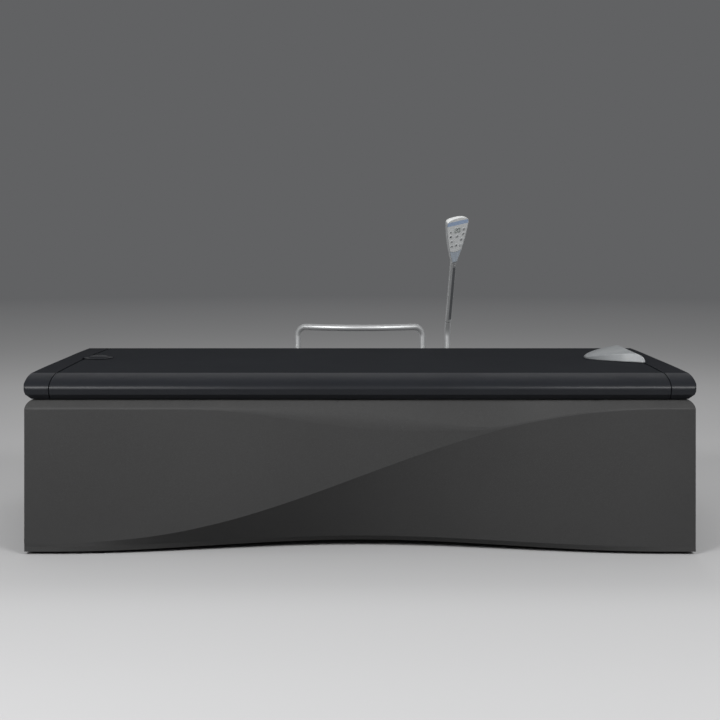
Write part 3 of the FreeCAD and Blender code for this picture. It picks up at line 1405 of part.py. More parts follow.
def drive_pulley():
    """Driven pulley with its shaft, which comes up through the tub's floor."""
    shaft = rod(SHAFT_RADIUS, V(DRIVE_X, 0, TUB_UNDERSIDE - GEARBOX_HEIGHT / 2), V(DRIVE_X, 0, BELT_Z))
    return joined([pulley_at(DRIVE_X), shaft])


def idler_pulley():
    tall = V(IDLER_X, 0, 2 * BELT_Z)
    return pulley_at(IDLER_X).cut(rod(SHAFT_RADIUS + SHAFT_FIT, V(IDLER_X, 0, 0), tall))


def idler_axle():
    """Fixed axle with a foot on the tub's floor and a shoulder under the pulley."""
    base = V(IDLER_X, 0, POOL_FLOOR)
    under = BELT_Z - BELT_WIDTH / 2 - BELT_GAP - PULLEY_FLANGE_SHEET - RUN_GAP
    shoulder = rod(AXLE_SHOULDER, base, V(IDLER_X, 0, under))
    foot = rod(PULLEY_FLANGE, base, base + UP * PULLEY_FLANGE_SHEET)
    pin = rod(SHAFT_RADIUS, base, V(IDLER_X, 0, BELT_Z + BELT_WIDTH))
    return joined([foot, shoulder, pin])


def shaft_seal():
    return ring(SEAL_RING, SHAFT_RADIUS + SHAFT_FIT, V(DRIVE_X, 0, TUB_UNDERSIDE), V(DRIVE_X, 0, POOL_FLOOR))


def gear_motor():
    """Gearbox under the tub with its motor hanging below."""
    half = GEARBOX_SIDE / 2
    low = TUB_UNDERSIDE - GEARBOX_HEIGHT
    box = rounded_block(DRIVE_X - half, DRIVE_X + half, -half, half, low, TUB_UNDERSIDE, GEARBOX_ROUND)
    motor = rod(MOTOR_RADIUS, V(DRIVE_X, 0, low - MOTOR_LENGTH), V(DRIVE_X, 0, low))
    bore = rod(SHAFT_RADIUS + SHAFT_FIT, V(DRIVE_X, 0, low + GEARBOX_HEIGHT / 2 - RUN_GAP),
               V(DRIVE_X, 0, TUB_UNDERSIDE))
    return joined([box, motor]).cut(bore)


# Water circuit

def pump_y():
    """The pump's axis lies one scroll radius behind its upright outlet."""
    return HOSE_FRONT_Y + VOLUTE_RADIUS - PIPE_RADIUS


def feed_hose():
    """Hose on the tub's floor that folds back on itself as the carriage travels."""
    turn = (HOSE_BACK_Y - HOSE_FRONT_Y) / 2
    start = V(HOSE_START_X, HOSE_FRONT_Y, HOSE_Z)
    near = V(HOSE_TURN_X, HOSE_FRONT_Y, HOSE_Z)
    apex = V(HOSE_TURN_X + turn, HOSE_FRONT_Y + turn, HOSE_Z)
    far = V(HOSE_TURN_X, HOSE_BACK_Y, HOSE_Z)
    end = V(hose_tail_x(), HOSE_BACK_Y, HOSE_Z)
    path = [line(start, near), arc(near, apex, far), line(far, end)]
    return swept(HOSE_RADIUS, path).cut(swept(HOSE_RADIUS - HOSE_WALL, path))


def hose_elbow():
    """Fitting on the tub's floor that turns the pump's pressure into the hose."""
    half = PIPE_RADIUS + PIPE_WALL
    high = HOSE_Z + half
    body = block(PUMP_X - half, HOSE_START_X, HOSE_FRONT_Y - half, HOSE_FRONT_Y + half, POOL_FLOOR, high)
    corner = V(PUMP_X, HOSE_FRONT_Y, HOSE_Z)
    down = rod(PIPE_RADIUS - PIPE_WALL, V(PUMP_X, HOSE_FRONT_Y, POOL_FLOOR), corner)
    along = rod(HOSE_RADIUS - HOSE_WALL, corner, V(HOSE_START_X, HOSE_FRONT_Y, HOSE_Z))
    return body.cut(down).cut(along)


def pressure_pipe():
    """Upright pipe from the pump's outlet to the tub's floor."""
    low = V(PUMP_X, HOSE_FRONT_Y, PUMP_Z + VOLUTE_RADIUS + INLET_LENGTH)
    return ring(PIPE_RADIUS, PIPE_RADIUS - PIPE_WALL, low, V(PUMP_X, HOSE_FRONT_Y, POOL_FLOOR))


def heater_ends():
    """Both ends of the heater's spigots, from the pump towards the suction pipe."""
    near = PUMP_X - VOLUTE_LENGTH / 2 - INLET_LENGTH
    return near, near - HEATER_LENGTH


def suction_pipe():
    """Pipe from the tub's floor down and along to the heater."""
    y = pump_y()
    _, end = heater_ends()
    bend = PIPE_BEND
    half = math.sin(math.radians(45))
    top = V(SUCTION_X, y, POOL_FLOOR)
    upper = V(SUCTION_X, y, PUMP_Z + bend)
    apex = V(SUCTION_X + bend * (1 - half), y, PUMP_Z + bend * (1 - half))
    lower = V(SUCTION_X + bend, y, PUMP_Z)
    path = [line(top, upper), arc(upper, apex, lower), line(lower, V(end, y, PUMP_Z))]
    return swept(PIPE_RADIUS, path).cut(swept(PIPE_RADIUS - PIPE_WALL, path))


def flow_heater():
    """Tubular heater with a spigot at each end and a terminal dome."""
    y = pump_y()
    near, far = heater_ends()
    spigot = INLET_LENGTH
    body = rod(HEATER_RADIUS, V(far + spigot, y, PUMP_Z), V(near - spigot, y, PUMP_Z))
    pipe = rod(PIPE_RADIUS, V(far, y, PUMP_Z), V(near, y, PUMP_Z))
    bore = rod(PIPE_RADIUS - PIPE_WALL, V(far, y, PUMP_Z), V(near, y, PUMP_Z))
    middle = (near + far) / 2
    dome = rod(PIPE_RADIUS, V(middle, y, PUMP_Z), V(middle, y, PUMP_Z + HEATER_RADIUS + PIPE_RADIUS))
    saddle = block(middle - PIPE_RADIUS, middle + PIPE_RADIUS, y - HEATER_RADIUS, y + HEATER_RADIUS,
                   TRAY_TOP, PUMP_Z)
    return joined([body, pipe, dome, saddle]).cut(bore)


def pump_volute():
    """Round pump casing with an axial inlet and an upright outlet at its front."""
    y = pump_y()
    half = VOLUTE_LENGTH / 2
    axis_low = V(PUMP_X - half, y, PUMP_Z)
    axis_high = V(PUMP_X + half, y, PUMP_Z)
    inlet = axis_low + FOOTWARD * INLET_LENGTH
    outlet = V(PUMP_X, HOSE_FRONT_Y, PUMP_Z)
    outlet_top = outlet + UP * (VOLUTE_RADIUS + INLET_LENGTH)
    body = joined([rod(VOLUTE_RADIUS, axis_low, axis_high), rod(PIPE_RADIUS, inlet, axis_low),
                   rod(PIPE_RADIUS, outlet, outlet_top)])
    wall = HEADWARD * VOLUTE_WALL
    cavity = rod(VOLUTE_RADIUS - VOLUTE_WALL, axis_low + wall, axis_high - wall)
    bore = PIPE_RADIUS - PIPE_WALL
    shaft = rod(SHAFT_RADIUS + SHAFT_FIT, axis_low + wall, axis_high)
    for hollow in (cavity, rod(bore, inlet, axis_low + wall), rod(bore, outlet, outlet_top), shaft):
        body = body.cut(hollow)
    return body


def pump_impeller():
    """Open impeller with radial blades on its shaft."""
    y = pump_y()
    half = VOLUTE_LENGTH / 2 - VOLUTE_WALL - IMPELLER_GAP
    reach = VOLUTE_RADIUS - VOLUTE_WALL - IMPELLER_GAP
    back = V(PUMP_X + half, y, PUMP_Z)
    disc = rod(reach, back + FOOTWARD * BLADE_THICKNESS, back)
    hub = rod(IMPELLER_HUB, back + FOOTWARD * 2 * half, back)
    shaft = rod(SHAFT_RADIUS, back, V(PUMP_X + VOLUTE_LENGTH / 2 + SHAFT_BITE, y, PUMP_Z))
    pieces = [disc, hub, shaft]
    for i in range(BLADE_COUNT):
        blade = block(PUMP_X - half, PUMP_X + half, y - BLADE_THICKNESS / 2, y + BLADE_THICKNESS / 2,
                      PUMP_Z, PUMP_Z + reach - BLADE_THICKNESS)
        blade.rotate(V(PUMP_X, y, PUMP_Z), HEADWARD, 360.0 * i / BLADE_COUNT)
        pieces.append(blade)
    return joined(pieces)


def pump_motor():
    """Finned motor on a foot that stands on the tray."""
    y = pump_y()
    low = V(PUMP_X + VOLUTE_LENGTH / 2, y, PUMP_Z)
    high = low + HEADWARD * PUMP_MOTOR_LENGTH
    pieces = [rod(PUMP_MOTOR_RADIUS, low, high)]
    fin_reach = PUMP_MOTOR_RADIUS + FIN_HEIGHT
    inset = HEADWARD * 2 * FIN_HEIGHT
    for i in range(FIN_COUNT):
        fin = block(low.x + inset.x, high.x - inset.x, y - FIN_THICKNESS / 2, y + FIN_THICKNESS / 2,
                    PUMP_Z, PUMP_Z + fin_reach)
        fin.rotate(low, HEADWARD, 360.0 * i / FIN_COUNT)
        pieces.append(fin)
    pieces.append(block(low.x + inset.x, high.x - inset.x, y - PUMP_FOOT_WIDTH / 2, y + PUMP_FOOT_WIDTH / 2,
                        TRAY_TOP, TRAY_TOP + PUMP_MOTOR_RADIUS))
    bore = rod(SHAFT_RADIUS + SHAFT_FIT, low, low + HEADWARD * (SHAFT_BITE + RUN_GAP))
    return joined(pieces).cut(bore)


# Electrics

def control_box():
    """Open-topped case on the tray."""
    x = BOX_X + BOX_LENGTH
    y = BOX_Y + BOX_DEPTH
    high = TRAY_TOP + BOX_HEIGHT
    case = rounded_block(BOX_X, x, BOX_Y, y, TRAY_TOP, high, BOX_ROUND)
    w = BOX_WALL
    return case.cut(block(BOX_X + w, x - w, BOX_Y + w, y - w, TRAY_TOP + w, high))


def control_box_lid():
    high = TRAY_TOP + BOX_HEIGHT
    return rounded_block(BOX_X, BOX_X + BOX_LENGTH, BOX_Y, BOX_Y + BOX_DEPTH, high, high + BOX_LID, BOX_ROUND)


def mains_inlet():
    """Appliance inlet through the rear panel: a rim outside and a socket with three pins."""
    w = INLET_WIDTH / 2
    h = INLET_HEIGHT / 2
    face = BASE_HALF_DEPTH
    body = block(INLET_X - w, INLET_X + w, face - INLET_DEPTH, face, INLET_Z - h, INLET_Z + h)
    rim = block(INLET_X - w - INLET_RIM, INLET_X + w + INLET_RIM, face, face + INLET_RIM_SHEET,
                INLET_Z - h - INLET_RIM, INLET_Z + h + INLET_RIM)
    floor = face - INLET_WELL
    well = block(INLET_X - w + INLET_WALL, INLET_X + w - INLET_WALL, floor, face + INLET_RIM_SHEET,
                 INLET_Z - h + INLET_WALL, INLET_Z + h - INLET_WALL)
    pins = []
    for s in (-1, 0, 1):
        x = INLET_X + s * PIN_SPREAD
        pins.append(block(x - PIN_SHEET / 2, x + PIN_SHEET / 2, floor, floor + PIN_LENGTH,
                          INLET_Z - PIN_WIDTH / 2, INLET_Z + PIN_WIDTH / 2))
    return joined([joined([body, rim]).cut(well)] + pins)


def build():
    """All nodes of the lounger by name."""
    nodes = dict(lid_pieces())
    makers = [
        base_frame, base_tray, foot_pads, foot_spindles, foot_locknuts, panel_brackets,
        front_panel, rear_panel, water_tub, lid_screws, lying_mat, filler_neck, filler_cap,
        head_pod, pod_gasket, pod_screws, grab_handle, handle_sockets, stem_socket, socket_bolts,
        stem_post, swivel_bush, stem_arm, arm_strip, head_shell, head_cap, keypad_foil,
        display_window, circuit_board, guide_rails, rail_brackets, jet_carriage, carriage_bushes,
        drive_belt, drive_pulley, idler_pulley, idler_axle, shaft_seal, gear_motor, feed_hose,
        hose_elbow, pressure_pipe, suction_pipe, flow_heater, pump_volute, pump_impeller,
        pump_motor, control_box, control_box_lid, mains_inlet,
    ]
    for maker in makers:
        nodes[maker.__name__] = maker()
    nodes["foot_end_panel"] = end_panel(-1)
    nodes["head_end_panel"] = end_panel(1)
    nodes["front_jet_rotor"] = jet_rotor(-ROTOR_SPREAD)
    nodes["rear_jet_rotor"] = jet_rotor(ROTOR_SPREAD)
    nodes["cap_seal"] = cap_seal_at(V(FILLER_X, 0, 0))
    return nodes


def main():
    os.makedirs("parts", exist_ok=True)
    for name, shape in sorted(build().items()):
        shape.translate(FRONT * (REAR_REACH / 2))
        valid = shape.isValid()
        print(f"{name}: {len(shape.Solids)} solids, {shape.Volume / 1000:.1f} cm3, valid {valid}")
        shape.exportStep(f"parts/{name}.step")


main()
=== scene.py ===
"""Looks of the hydro massage lounger.

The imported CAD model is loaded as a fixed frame. Every CAD node gets a procedural finish, the lying surface,
the print of the control head and the small fasteners are modelled here, and a plain studio is set round it.
"""

import json
import logging
import math
from dataclasses import dataclass, field
from enum import Enum
from functools import cached_property
from typing import Mapping, Optional, Sequence, Union

import bmesh
import bpy
from mathutils import Matrix, Vector


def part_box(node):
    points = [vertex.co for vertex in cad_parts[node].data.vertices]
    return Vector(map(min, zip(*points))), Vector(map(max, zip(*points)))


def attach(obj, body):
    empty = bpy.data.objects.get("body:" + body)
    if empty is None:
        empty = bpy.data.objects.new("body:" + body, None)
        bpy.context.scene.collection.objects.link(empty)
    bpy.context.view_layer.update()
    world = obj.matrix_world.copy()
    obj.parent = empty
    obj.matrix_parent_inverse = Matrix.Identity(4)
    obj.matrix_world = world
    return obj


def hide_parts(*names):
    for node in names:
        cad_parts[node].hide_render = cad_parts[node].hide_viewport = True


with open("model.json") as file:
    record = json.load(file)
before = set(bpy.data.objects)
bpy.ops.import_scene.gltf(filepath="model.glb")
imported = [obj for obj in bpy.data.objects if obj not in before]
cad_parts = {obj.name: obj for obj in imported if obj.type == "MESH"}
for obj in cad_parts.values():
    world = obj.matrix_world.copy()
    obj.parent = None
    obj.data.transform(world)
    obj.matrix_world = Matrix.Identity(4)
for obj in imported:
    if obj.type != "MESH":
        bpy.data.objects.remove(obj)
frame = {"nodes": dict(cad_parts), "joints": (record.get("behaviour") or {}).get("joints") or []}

LOG = logging.getLogger("lounger")
PHOTO_SIZE = 720.0

Rgb = tuple[float, float, float]
Point2 = tuple[float, float]
Socket = bpy.types.NodeSocket
Feed = Union[float, Sequence[float], Socket]


class Body(str, Enum):
    """CAD bodies that the pieces of this script ride on."""

    LOUNGER = "lounger"
    CONTROL_ARM = "control_arm"


class Mark(Enum):
    """Signs printed on the keys."""

    UP = "up"
    DOWN = "down"
    LEFT = "left"
    RIGHT = "right"
    PLUS = "plus"
    MINUS = "minus"
    RING = "ring"
    DIAMOND = "diamond"
    BARS = "bars"
    SQUARE = "square"


# Node trees

class NodeSheet:
    """A node tree with short ways to add its nodes and join them."""

    # Sockets of a Mix node that mixes colours.
    MIX_SHARE, MIX_FIRST, MIX_SECOND, MIX_RESULT = 0, 6, 7, 2

    def __init__(self, tree: bpy.types.NodeTree) -> None:
        """Keep the tree that the nodes go into."""
        self.tree = tree

    def add(self, kind: str, feeds: Optional[Mapping[Union[str, int], Feed]] = None,
            **settings: object) -> bpy.types.Node:
        """Add a node.

        Args:
            kind: Blender's name of the node type.
            feeds: what each input is set to or linked from.
            settings: properties of the node.

        Returns:
            The new node.
        """
        node = self.tree.nodes.new(kind)
        for label, value in settings.items():
            setattr(node, label, value)
        for key, value in (feeds or {}).items():
            self.feed(node.inputs[key], value)
        return node

    def feed(self, socket: Socket, value: Feed) -> None:
        """Set an input to a value, or link it from another node's output.

        Args:
            socket: the input.
            value: a number, a vector, a colour or an output socket.
        """
        if isinstance(value, Socket):
            self.tree.links.new(value, socket)
        else:
            socket.default_value = value

    def place(self) -> Socket:
        """Return the point on the surface, in the object's own metres."""
        return self.add("ShaderNodeTexCoord").outputs["Object"]

    def lift(self) -> Socket:
        """Return how far the surface looks up: 1 where it lies level, 0 where it stands upright."""
        normal = self.add("ShaderNodeNewGeometry").outputs["Normal"]
        return self.add("ShaderNodeSeparateXYZ", {0: normal}).outputs["Z"]

    def math(self, operation: str, *values: Feed) -> Socket:
        """Return the result of a calculation on one to three numbers."""
        return self.add("ShaderNodeMath", dict(enumerate(values)), operation=operation).outputs[0]

    def vector_math(self, operation: str, *values: Feed) -> bpy.types.Node:
        """Return a node that calculates with vectors."""
        return self.add("ShaderNodeVectorMath", dict(enumerate(values)), operation=operation)

    def remap(self, value: Feed, low: Feed, high: Feed, to_low: Feed = 0.0, to_high: Feed = 1.0) -> Socket:
        """Return a number brought from one span to another and held inside it."""
        feeds = {"Value": value, "From Min": low, "From Max": high, "To Min": to_low, "To Max": to_high}
        return self.add("ShaderNodeMapRange", feeds).outputs["Result"]

    def mix(self, share: Feed, first: Feed, second: Feed, blend: str = "MIX") -> Socket:
        """Return a colour mixed from two."""
        feeds = {self.MIX_SHARE: share, self.MIX_FIRST: first, self.MIX_SECOND: second}
        return self.add("ShaderNodeMix", feeds, data_type="RGBA", blend_type=blend).outputs[self.MIX_RESULT]

    def noise(self, place: Feed, scale: Feed, detail: float = 2.0) -> Socket:
        """Return soft noise from 0 to 1."""
        feeds = {"Vector": place, "Scale": scale, "Detail": detail}
        return self.add("ShaderNodeTexNoise", feeds).outputs["Fac"]

    def cells(self, place: Feed, scale: Feed, feature: str = "F1") -> bpy.types.Node:
        """Return a node that divides space into cells."""
        return self.add("ShaderNodeTexVoronoi", {"Vector": place, "Scale": scale}, feature=feature)


class EffectSheet(NodeSheet):
    """A shader node group with named inputs and outputs."""

    KINDS = {1: "NodeSocketFloat", 3: "NodeSocketVector", 4: "NodeSocketColor"}

    def __init__(self, name: str, inputs: Mapping[str, Feed], outputs: Mapping[str, int]) -> None:
        """Make the group and its sockets.

        Args:
            name: the group's name.
            inputs: each input's name and usual value.
            outputs: each output's name and how many numbers it has.
        """
        super().__init__(bpy.data.node_groups.new(name, "ShaderNodeTree"))
        for label, value in inputs.items():
            kind = self.KINDS[1 if isinstance(value, float) else len(value)]
            self.tree.interface.new_socket(label, in_out="INPUT", socket_type=kind).default_value = value
        for label, width in outputs.items():
            self.tree.interface.new_socket(label, in_out="OUTPUT", socket_type=self.KINDS[width])
        self.given = self.tree.nodes.new("NodeGroupInput").outputs
        self.made = self.tree.nodes.new("NodeGroupOutput").inputs


def rgba(color: Rgb) -> tuple[float, float, float, float]:
    """Return a colour with full cover."""
    return (*color, 1.0)


GREY = rgba((0.5, 0.5, 0.5))
WHITE = rgba((1.0, 1.0, 1.0))


class Effects:
    """Effects that several finishes share, each a node group that is built once."""

    NOISE_SPAN = (0.3, 0.7)
    DRIFT_DETAIL = 4.0
    FLAKE_CORE = (0.2, 0.6)
    PEBBLE_SHARE = 0.75
    FINE_SCALE = 2.6
    SMEAR_SCALE = 0.012
    SMEAR_DETAIL = 5.0
    BEVEL_SAMPLES = 6
    EDGE_SPAN = (0.99, 0.8)
    PATCH_DETAIL = 6.0
    PATCHY_EDGE_SCALE = 60.0
    PATCHY_EDGE_SPAN = (0.35, 0.65)
    DUST_SPAN = (0.4, 0.75)
    DUST_LIFT = (0.55, 0.98)
    LINE_DETAIL = 3.0

    def shaded(self, sheet: EffectSheet, pattern: Socket) -> Socket:
        """Return an effect's colour, lighter and darker by its depth where a pattern is high and low.

        Args:
            sheet: the effect, which has the inputs Color and Depth.
            pattern: noise from 0 to 1.

        Returns:
            The shaded colour.
        """
        low = sheet.math("SUBTRACT", 1.0, sheet.given["Depth"])
        high = sheet.math("ADD", 1.0, sheet.given["Depth"])
        factor = sheet.remap(pattern, *self.NOISE_SPAN, low, high)
        return sheet.mix(1.0, sheet.given["Color"], factor, "MULTIPLY")

    @cached_property
    def tone_drift(self) -> bpy.types.NodeTree:
        """Slow drift of the tone over the surface."""
        sheet = EffectSheet("tone_drift", {"Color": GREY, "Scale": 5.0, "Depth": 0.1}, {"Color": 4})
        cloud = sheet.noise(sheet.place(), sheet.given["Scale"], self.DRIFT_DETAIL)
        sheet.feed(sheet.made["Color"], self.shaded(sheet, cloud))
        return sheet.tree

    @cached_property
    def paint_flakes(self) -> bpy.types.NodeTree:
        """Fine bright flakes in a paint."""
        inputs = {"Color": GREY, "Flake Color": GREY, "Scale": 800.0, "Share": 0.1}
        sheet = EffectSheet("paint_flakes", inputs, {"Color": 4})
        cells = sheet.cells(sheet.place(), sheet.given["Scale"])
        chance = sheet.add("ShaderNodeSeparateColor", {0: cells.outputs["Color"]}).outputs[0]
        floor = sheet.math("SUBTRACT", 1.0, sheet.given["Share"])
        lit = sheet.remap(chance, floor, 1.0)
        core = sheet.remap(cells.outputs["Distance"], *self.FLAKE_CORE, 1.0, 0.0)
        mask = sheet.math("MULTIPLY", lit, core)
        sheet.feed(sheet.made["Color"], sheet.mix(mask, sheet.given["Color"], sheet.given["Flake Color"]))
        return sheet.tree

    @cached_property
    def surface_grain(self) -> bpy.types.NodeTree:
        """Fine pebbled relief with the gloss that goes with it."""
        inputs = {"Scale": 900.0, "Roughness": 0.5, "Spread": 0.1}
        sheet = EffectSheet("surface_grain", inputs, {"Height": 1, "Roughness": 1})
        place = sheet.place()
        pebbles = sheet.cells(place, sheet.given["Scale"], "SMOOTH_F1").outputs["Distance"]
        fine = sheet.noise(place, sheet.math("MULTIPLY", sheet.given["Scale"], self.FINE_SCALE))
        coarse_part = sheet.math("MULTIPLY", pebbles, self.PEBBLE_SHARE)
        fine_part = sheet.math("MULTIPLY", fine, 1.0 - self.PEBBLE_SHARE)
        sheet.feed(sheet.made["Height"], sheet.math("ADD", coarse_part, fine_part))
        smear_scale = sheet.math("MULTIPLY", sheet.given["Scale"], self.SMEAR_SCALE)
        smears = sheet.noise(place, smear_scale, self.SMEAR_DETAIL)
        swing = sheet.math("MULTIPLY", sheet.math("SUBTRACT", smears, 0.5), sheet.given["Spread"])
        sheet.feed(sheet.made["Roughness"], sheet.math("ADD", sheet.given["Roughness"], swing))
        return sheet.tree

    @cached_property
    def edge_wear_and_highlight(self) -> bpy.types.NodeTree:
        """Edges that are softly rounded and lighter in tone: rubbed wear, and a painted highlight on the
        pod's ridge.
        """
        inputs = {"Color": GREY, "Worn And Lit Color": GREY, "Radius": 0.001, "Amount": 0.2}
        sheet = EffectSheet("edge_wear_and_highlight", inputs, {"Color": 4, "Normal": 3})
        radius = {"Radius": sheet.given["Radius"]}
        rounded = sheet.add("ShaderNodeBevel", radius, samples=self.BEVEL_SAMPLES).outputs[0]
        flat = sheet.add("ShaderNodeNewGeometry").outputs["Normal"]
        along = sheet.vector_math("DOT_PRODUCT", rounded, flat).outputs["Value"]
        edge = sheet.remap(along, *self.EDGE_SPAN)
        noise = sheet.noise(sheet.place(), self.PATCHY_EDGE_SCALE, self.PATCH_DETAIL)
        patchy_edge = sheet.math("MULTIPLY", edge, sheet.remap(noise, *self.PATCHY_EDGE_SPAN))
        mask = sheet.math("MULTIPLY", patchy_edge, sheet.given["Amount"])
        # the lighter edge tone is rubbed wear, and where a finish sets it high a painted highlight
        sheet.feed(sheet.made["Color"], sheet.mix(mask, sheet.given["Color"], sheet.given["Worn And Lit Color"]))
        sheet.feed(sheet.made["Normal"], rounded)
        return sheet.tree

    @cached_property
    def settled_dust(self) -> bpy.types.NodeTree:
        """Thin dust on faces that look up."""
        inputs = {"Color": GREY, "Dust Color": GREY, "Amount": 0.05, "Scale": 14.0}
        sheet = EffectSheet("settled_dust", inputs, {"Color": 4})
        noise = sheet.noise(sheet.place(), sheet.given["Scale"], self.PATCH_DETAIL)
        facing = sheet.remap(sheet.lift(), *self.DUST_LIFT)
        lain = sheet.math("MULTIPLY", facing, sheet.remap(noise, *self.DUST_SPAN))
        mask = sheet.math("MULTIPLY", lain, sheet.given["Amount"])
        sheet.feed(sheet.made["Color"], sheet.mix(mask, sheet.given["Color"], sheet.given["Dust Color"]))
        return sheet.tree

    @cached_property
    def level_faces(self) -> bpy.types.NodeTree:
        """Mask of the faces that lie level."""
        sheet = EffectSheet("level_faces", {"Slope Z": 0.99, "Level Z": 0.997}, {"Mask": 1})
        mask = sheet.remap(sheet.lift(), sheet.given["Slope Z"], sheet.given["Level Z"])
        sheet.feed(sheet.made["Mask"], mask)
        return sheet.tree

    @cached_property
    def drawn_lines(self) -> bpy.types.NodeTree:
        """Fine lines along a drawn or brushed metal piece."""
        inputs = {"Color": GREY, "Stretch": (1.0, 1.0, 0.05), "Scale": 900.0, "Depth": 0.1}
        sheet = EffectSheet("drawn_lines", inputs, {"Color": 4, "Height": 1})
        place = sheet.vector_math("MULTIPLY", sheet.place(), sheet.given["Stretch"]).outputs[0]
        lines = sheet.noise(place, sheet.given["Scale"], self.LINE_DETAIL)
        sheet.feed(sheet.made["Height"], lines)
        sheet.feed(sheet.made["Color"], self.shaded(sheet, lines))
        return sheet.tree


EFFECTS = Effects()


class Surface(NodeSheet):
    """A material with its principled shader."""

    def __init__(self, name: str) -> None:
        """Make the material."""
        self.material = bpy.data.materials.new(name)
        self.material.use_nodes = True
        super().__init__(self.material.node_tree)
        self.shader = self.tree.nodes["Principled BSDF"]

    def effect(self, group: bpy.types.NodeTree, feeds: Mapping[str, Feed]) -> bpy.types.NodeOutputs:
        """Place an effect in the material.

        Args:
            group: the effect's node group.
            feeds: what each of its inputs is set to or linked from.

        Returns:
            The effect's outputs.
        """
        return self.add("ShaderNodeGroup", feeds, node_tree=group).outputs

    def dress(self, feeds: Mapping[str, Feed]) -> None:
        """Set the shader's own inputs."""
        for label, value in feeds.items():
            self.feed(self.shader.inputs[label], value)


# Finishes

DUST: Rgb = (0.36, 0.34, 0.31)


@dataclass(frozen=True)
class Finish:
    """A surface finish: tone, gloss, grain, lighter edges (rubbed wear, on the pod a painted highlight) and
    dust.
    """

    name: str
    color: Rgb
    roughness: float
    metallic: float = 0.0
    specular: float = 0.5
    drift: float = 0.07
    drift_scale: float = 5.0
    gloss_spread: float = 0.12
    grain_scale: float = 900.0
    grain_height: float = 0.00005
    edge_radius: float = 0.0008
    # edge tone and amount: rubbed wear, and on the pod a painted highlight
    worn_and_lit_tone: Rgb = (0.2, 0.2, 0.2)
    wear_and_highlight: float = 0.15
    dust: float = 0.04
    coat: float = 0.0
    coat_roughness: float = 0.08

    def pattern(self, surface: Surface, color: Socket) -> Socket:
        """Return the colour with what this kind of finish adds to it."""
        return color

    def relief(self, surface: Surface, height: Socket) -> Socket:
        """Return the relief with what this kind of finish adds to it."""
        return height

    def texture(self, surface: Surface) -> Feed:
        """Return the roughness over this kind of finish."""
        return self.roughness

    def build(self) -> bpy.types.Material:
        """Make the material.

        Returns:
            The material, named as the finish.
        """
        surface = Surface(self.name)
        drift = {"Color": rgba(self.color), "Scale": self.drift_scale, "Depth": self.drift}
        toned = surface.effect(EFFECTS.tone_drift, drift)["Color"]
        wear_and_highlight = {"Color": self.pattern(surface, toned), "Worn And Lit Color": rgba(self.worn_and_lit_tone),
                "Radius": self.edge_radius, "Amount": self.wear_and_highlight}
        worn_and_lit_tone = surface.effect(EFFECTS.edge_wear_and_highlight, wear_and_highlight)
        dust = {"Color": worn_and_lit_tone["Color"], "Dust Color": rgba(DUST), "Amount": self.dust}
        dusted = surface.effect(EFFECTS.settled_dust, dust)
        gloss = {"Scale": self.grain_scale, "Roughness": self.texture(surface), "Spread": self.gloss_spread}
        grain = surface.effect(EFFECTS.surface_grain, gloss)
        bump = {"Height": self.relief(surface, grain["Height"]), "Distance": self.grain_height,
                "Normal": worn_and_lit_tone["Normal"]}
        normal = surface.add("ShaderNodeBump", bump).outputs["Normal"]
        surface.dress({"Base Color": dusted["Color"], "Roughness": grain["Roughness"], "Normal": normal,
                       "Metallic": self.metallic, "Specular IOR Level": self.specular,
                       "Coat Weight": self.coat, "Coat Roughness": self.coat_roughness})
        return surface.material


@dataclass(frozen=True)
class MouldedSkin(Finish):
    """Satin moulding with a matt texture on its level top, where painted shade darkens the colour."""

    level_roughness: float = 0.94
    # painted shade: the darker colour of the level top stands in for its dimmer reflection
    level_shade_color: Rgb = (0.0045, 0.0056, 0.0085)

    @staticmethod
    def level(surface: Surface) -> Socket:
        """Return the mask of the level top."""
        return surface.effect(EFFECTS.level_faces, {})["Mask"]

    def pattern(self, surface: Surface, color: Socket) -> Socket:
        """Return the colour, darkened on the level top as painted shade."""
        return surface.mix(self.level(surface), color, rgba(self.level_shade_color))

    def texture(self, surface: Surface) -> Feed:
        """Return the roughness, which is higher on the level top."""
        return surface.remap(self.level(surface), 0.0, 1.0, self.roughness, self.level_roughness)


@dataclass(frozen=True)
class FlakePaint(Finish):
    """Paint or lacquer with fine metal flakes."""

    flake: Rgb = (0.3, 0.3, 0.3)
    flake_scale: float = 700.0
    flake_share: float = 0.2

    def pattern(self, surface: Surface, color: Socket) -> Socket:
        """Return the colour with flakes in it."""
        feeds = {"Color": color, "Flake Color": rgba(self.flake), "Scale": self.flake_scale,
                 "Share": self.flake_share}
        return surface.effect(EFFECTS.paint_flakes, feeds)["Color"]


@dataclass(frozen=True)
class DrawnMetal(Finish):
    """Metal with fine lines along its length."""

    stretch: tuple[float, float, float] = (1.0, 1.0, 0.04)
    line_scale: float = 1200.0
    line_depth: float = 0.08

    def lines(self, surface: Surface, color: Feed) -> bpy.types.NodeOutputs:
        """Return the outputs of the lines laid over a colour."""
        feeds = {"Color": color, "Stretch": self.stretch, "Scale": self.line_scale, "Depth": self.line_depth}
        return surface.effect(EFFECTS.drawn_lines, feeds)

    def pattern(self, surface: Surface, color: Socket) -> Socket:
        """Return the colour with the lines in it."""
        return self.lines(surface, color)["Color"]

    def relief(self, surface: Surface, height: Socket) -> Socket:
        """Return the relief with the lines in it."""
        return surface.math("ADD", height, self.lines(surface, GREY)["Height"])


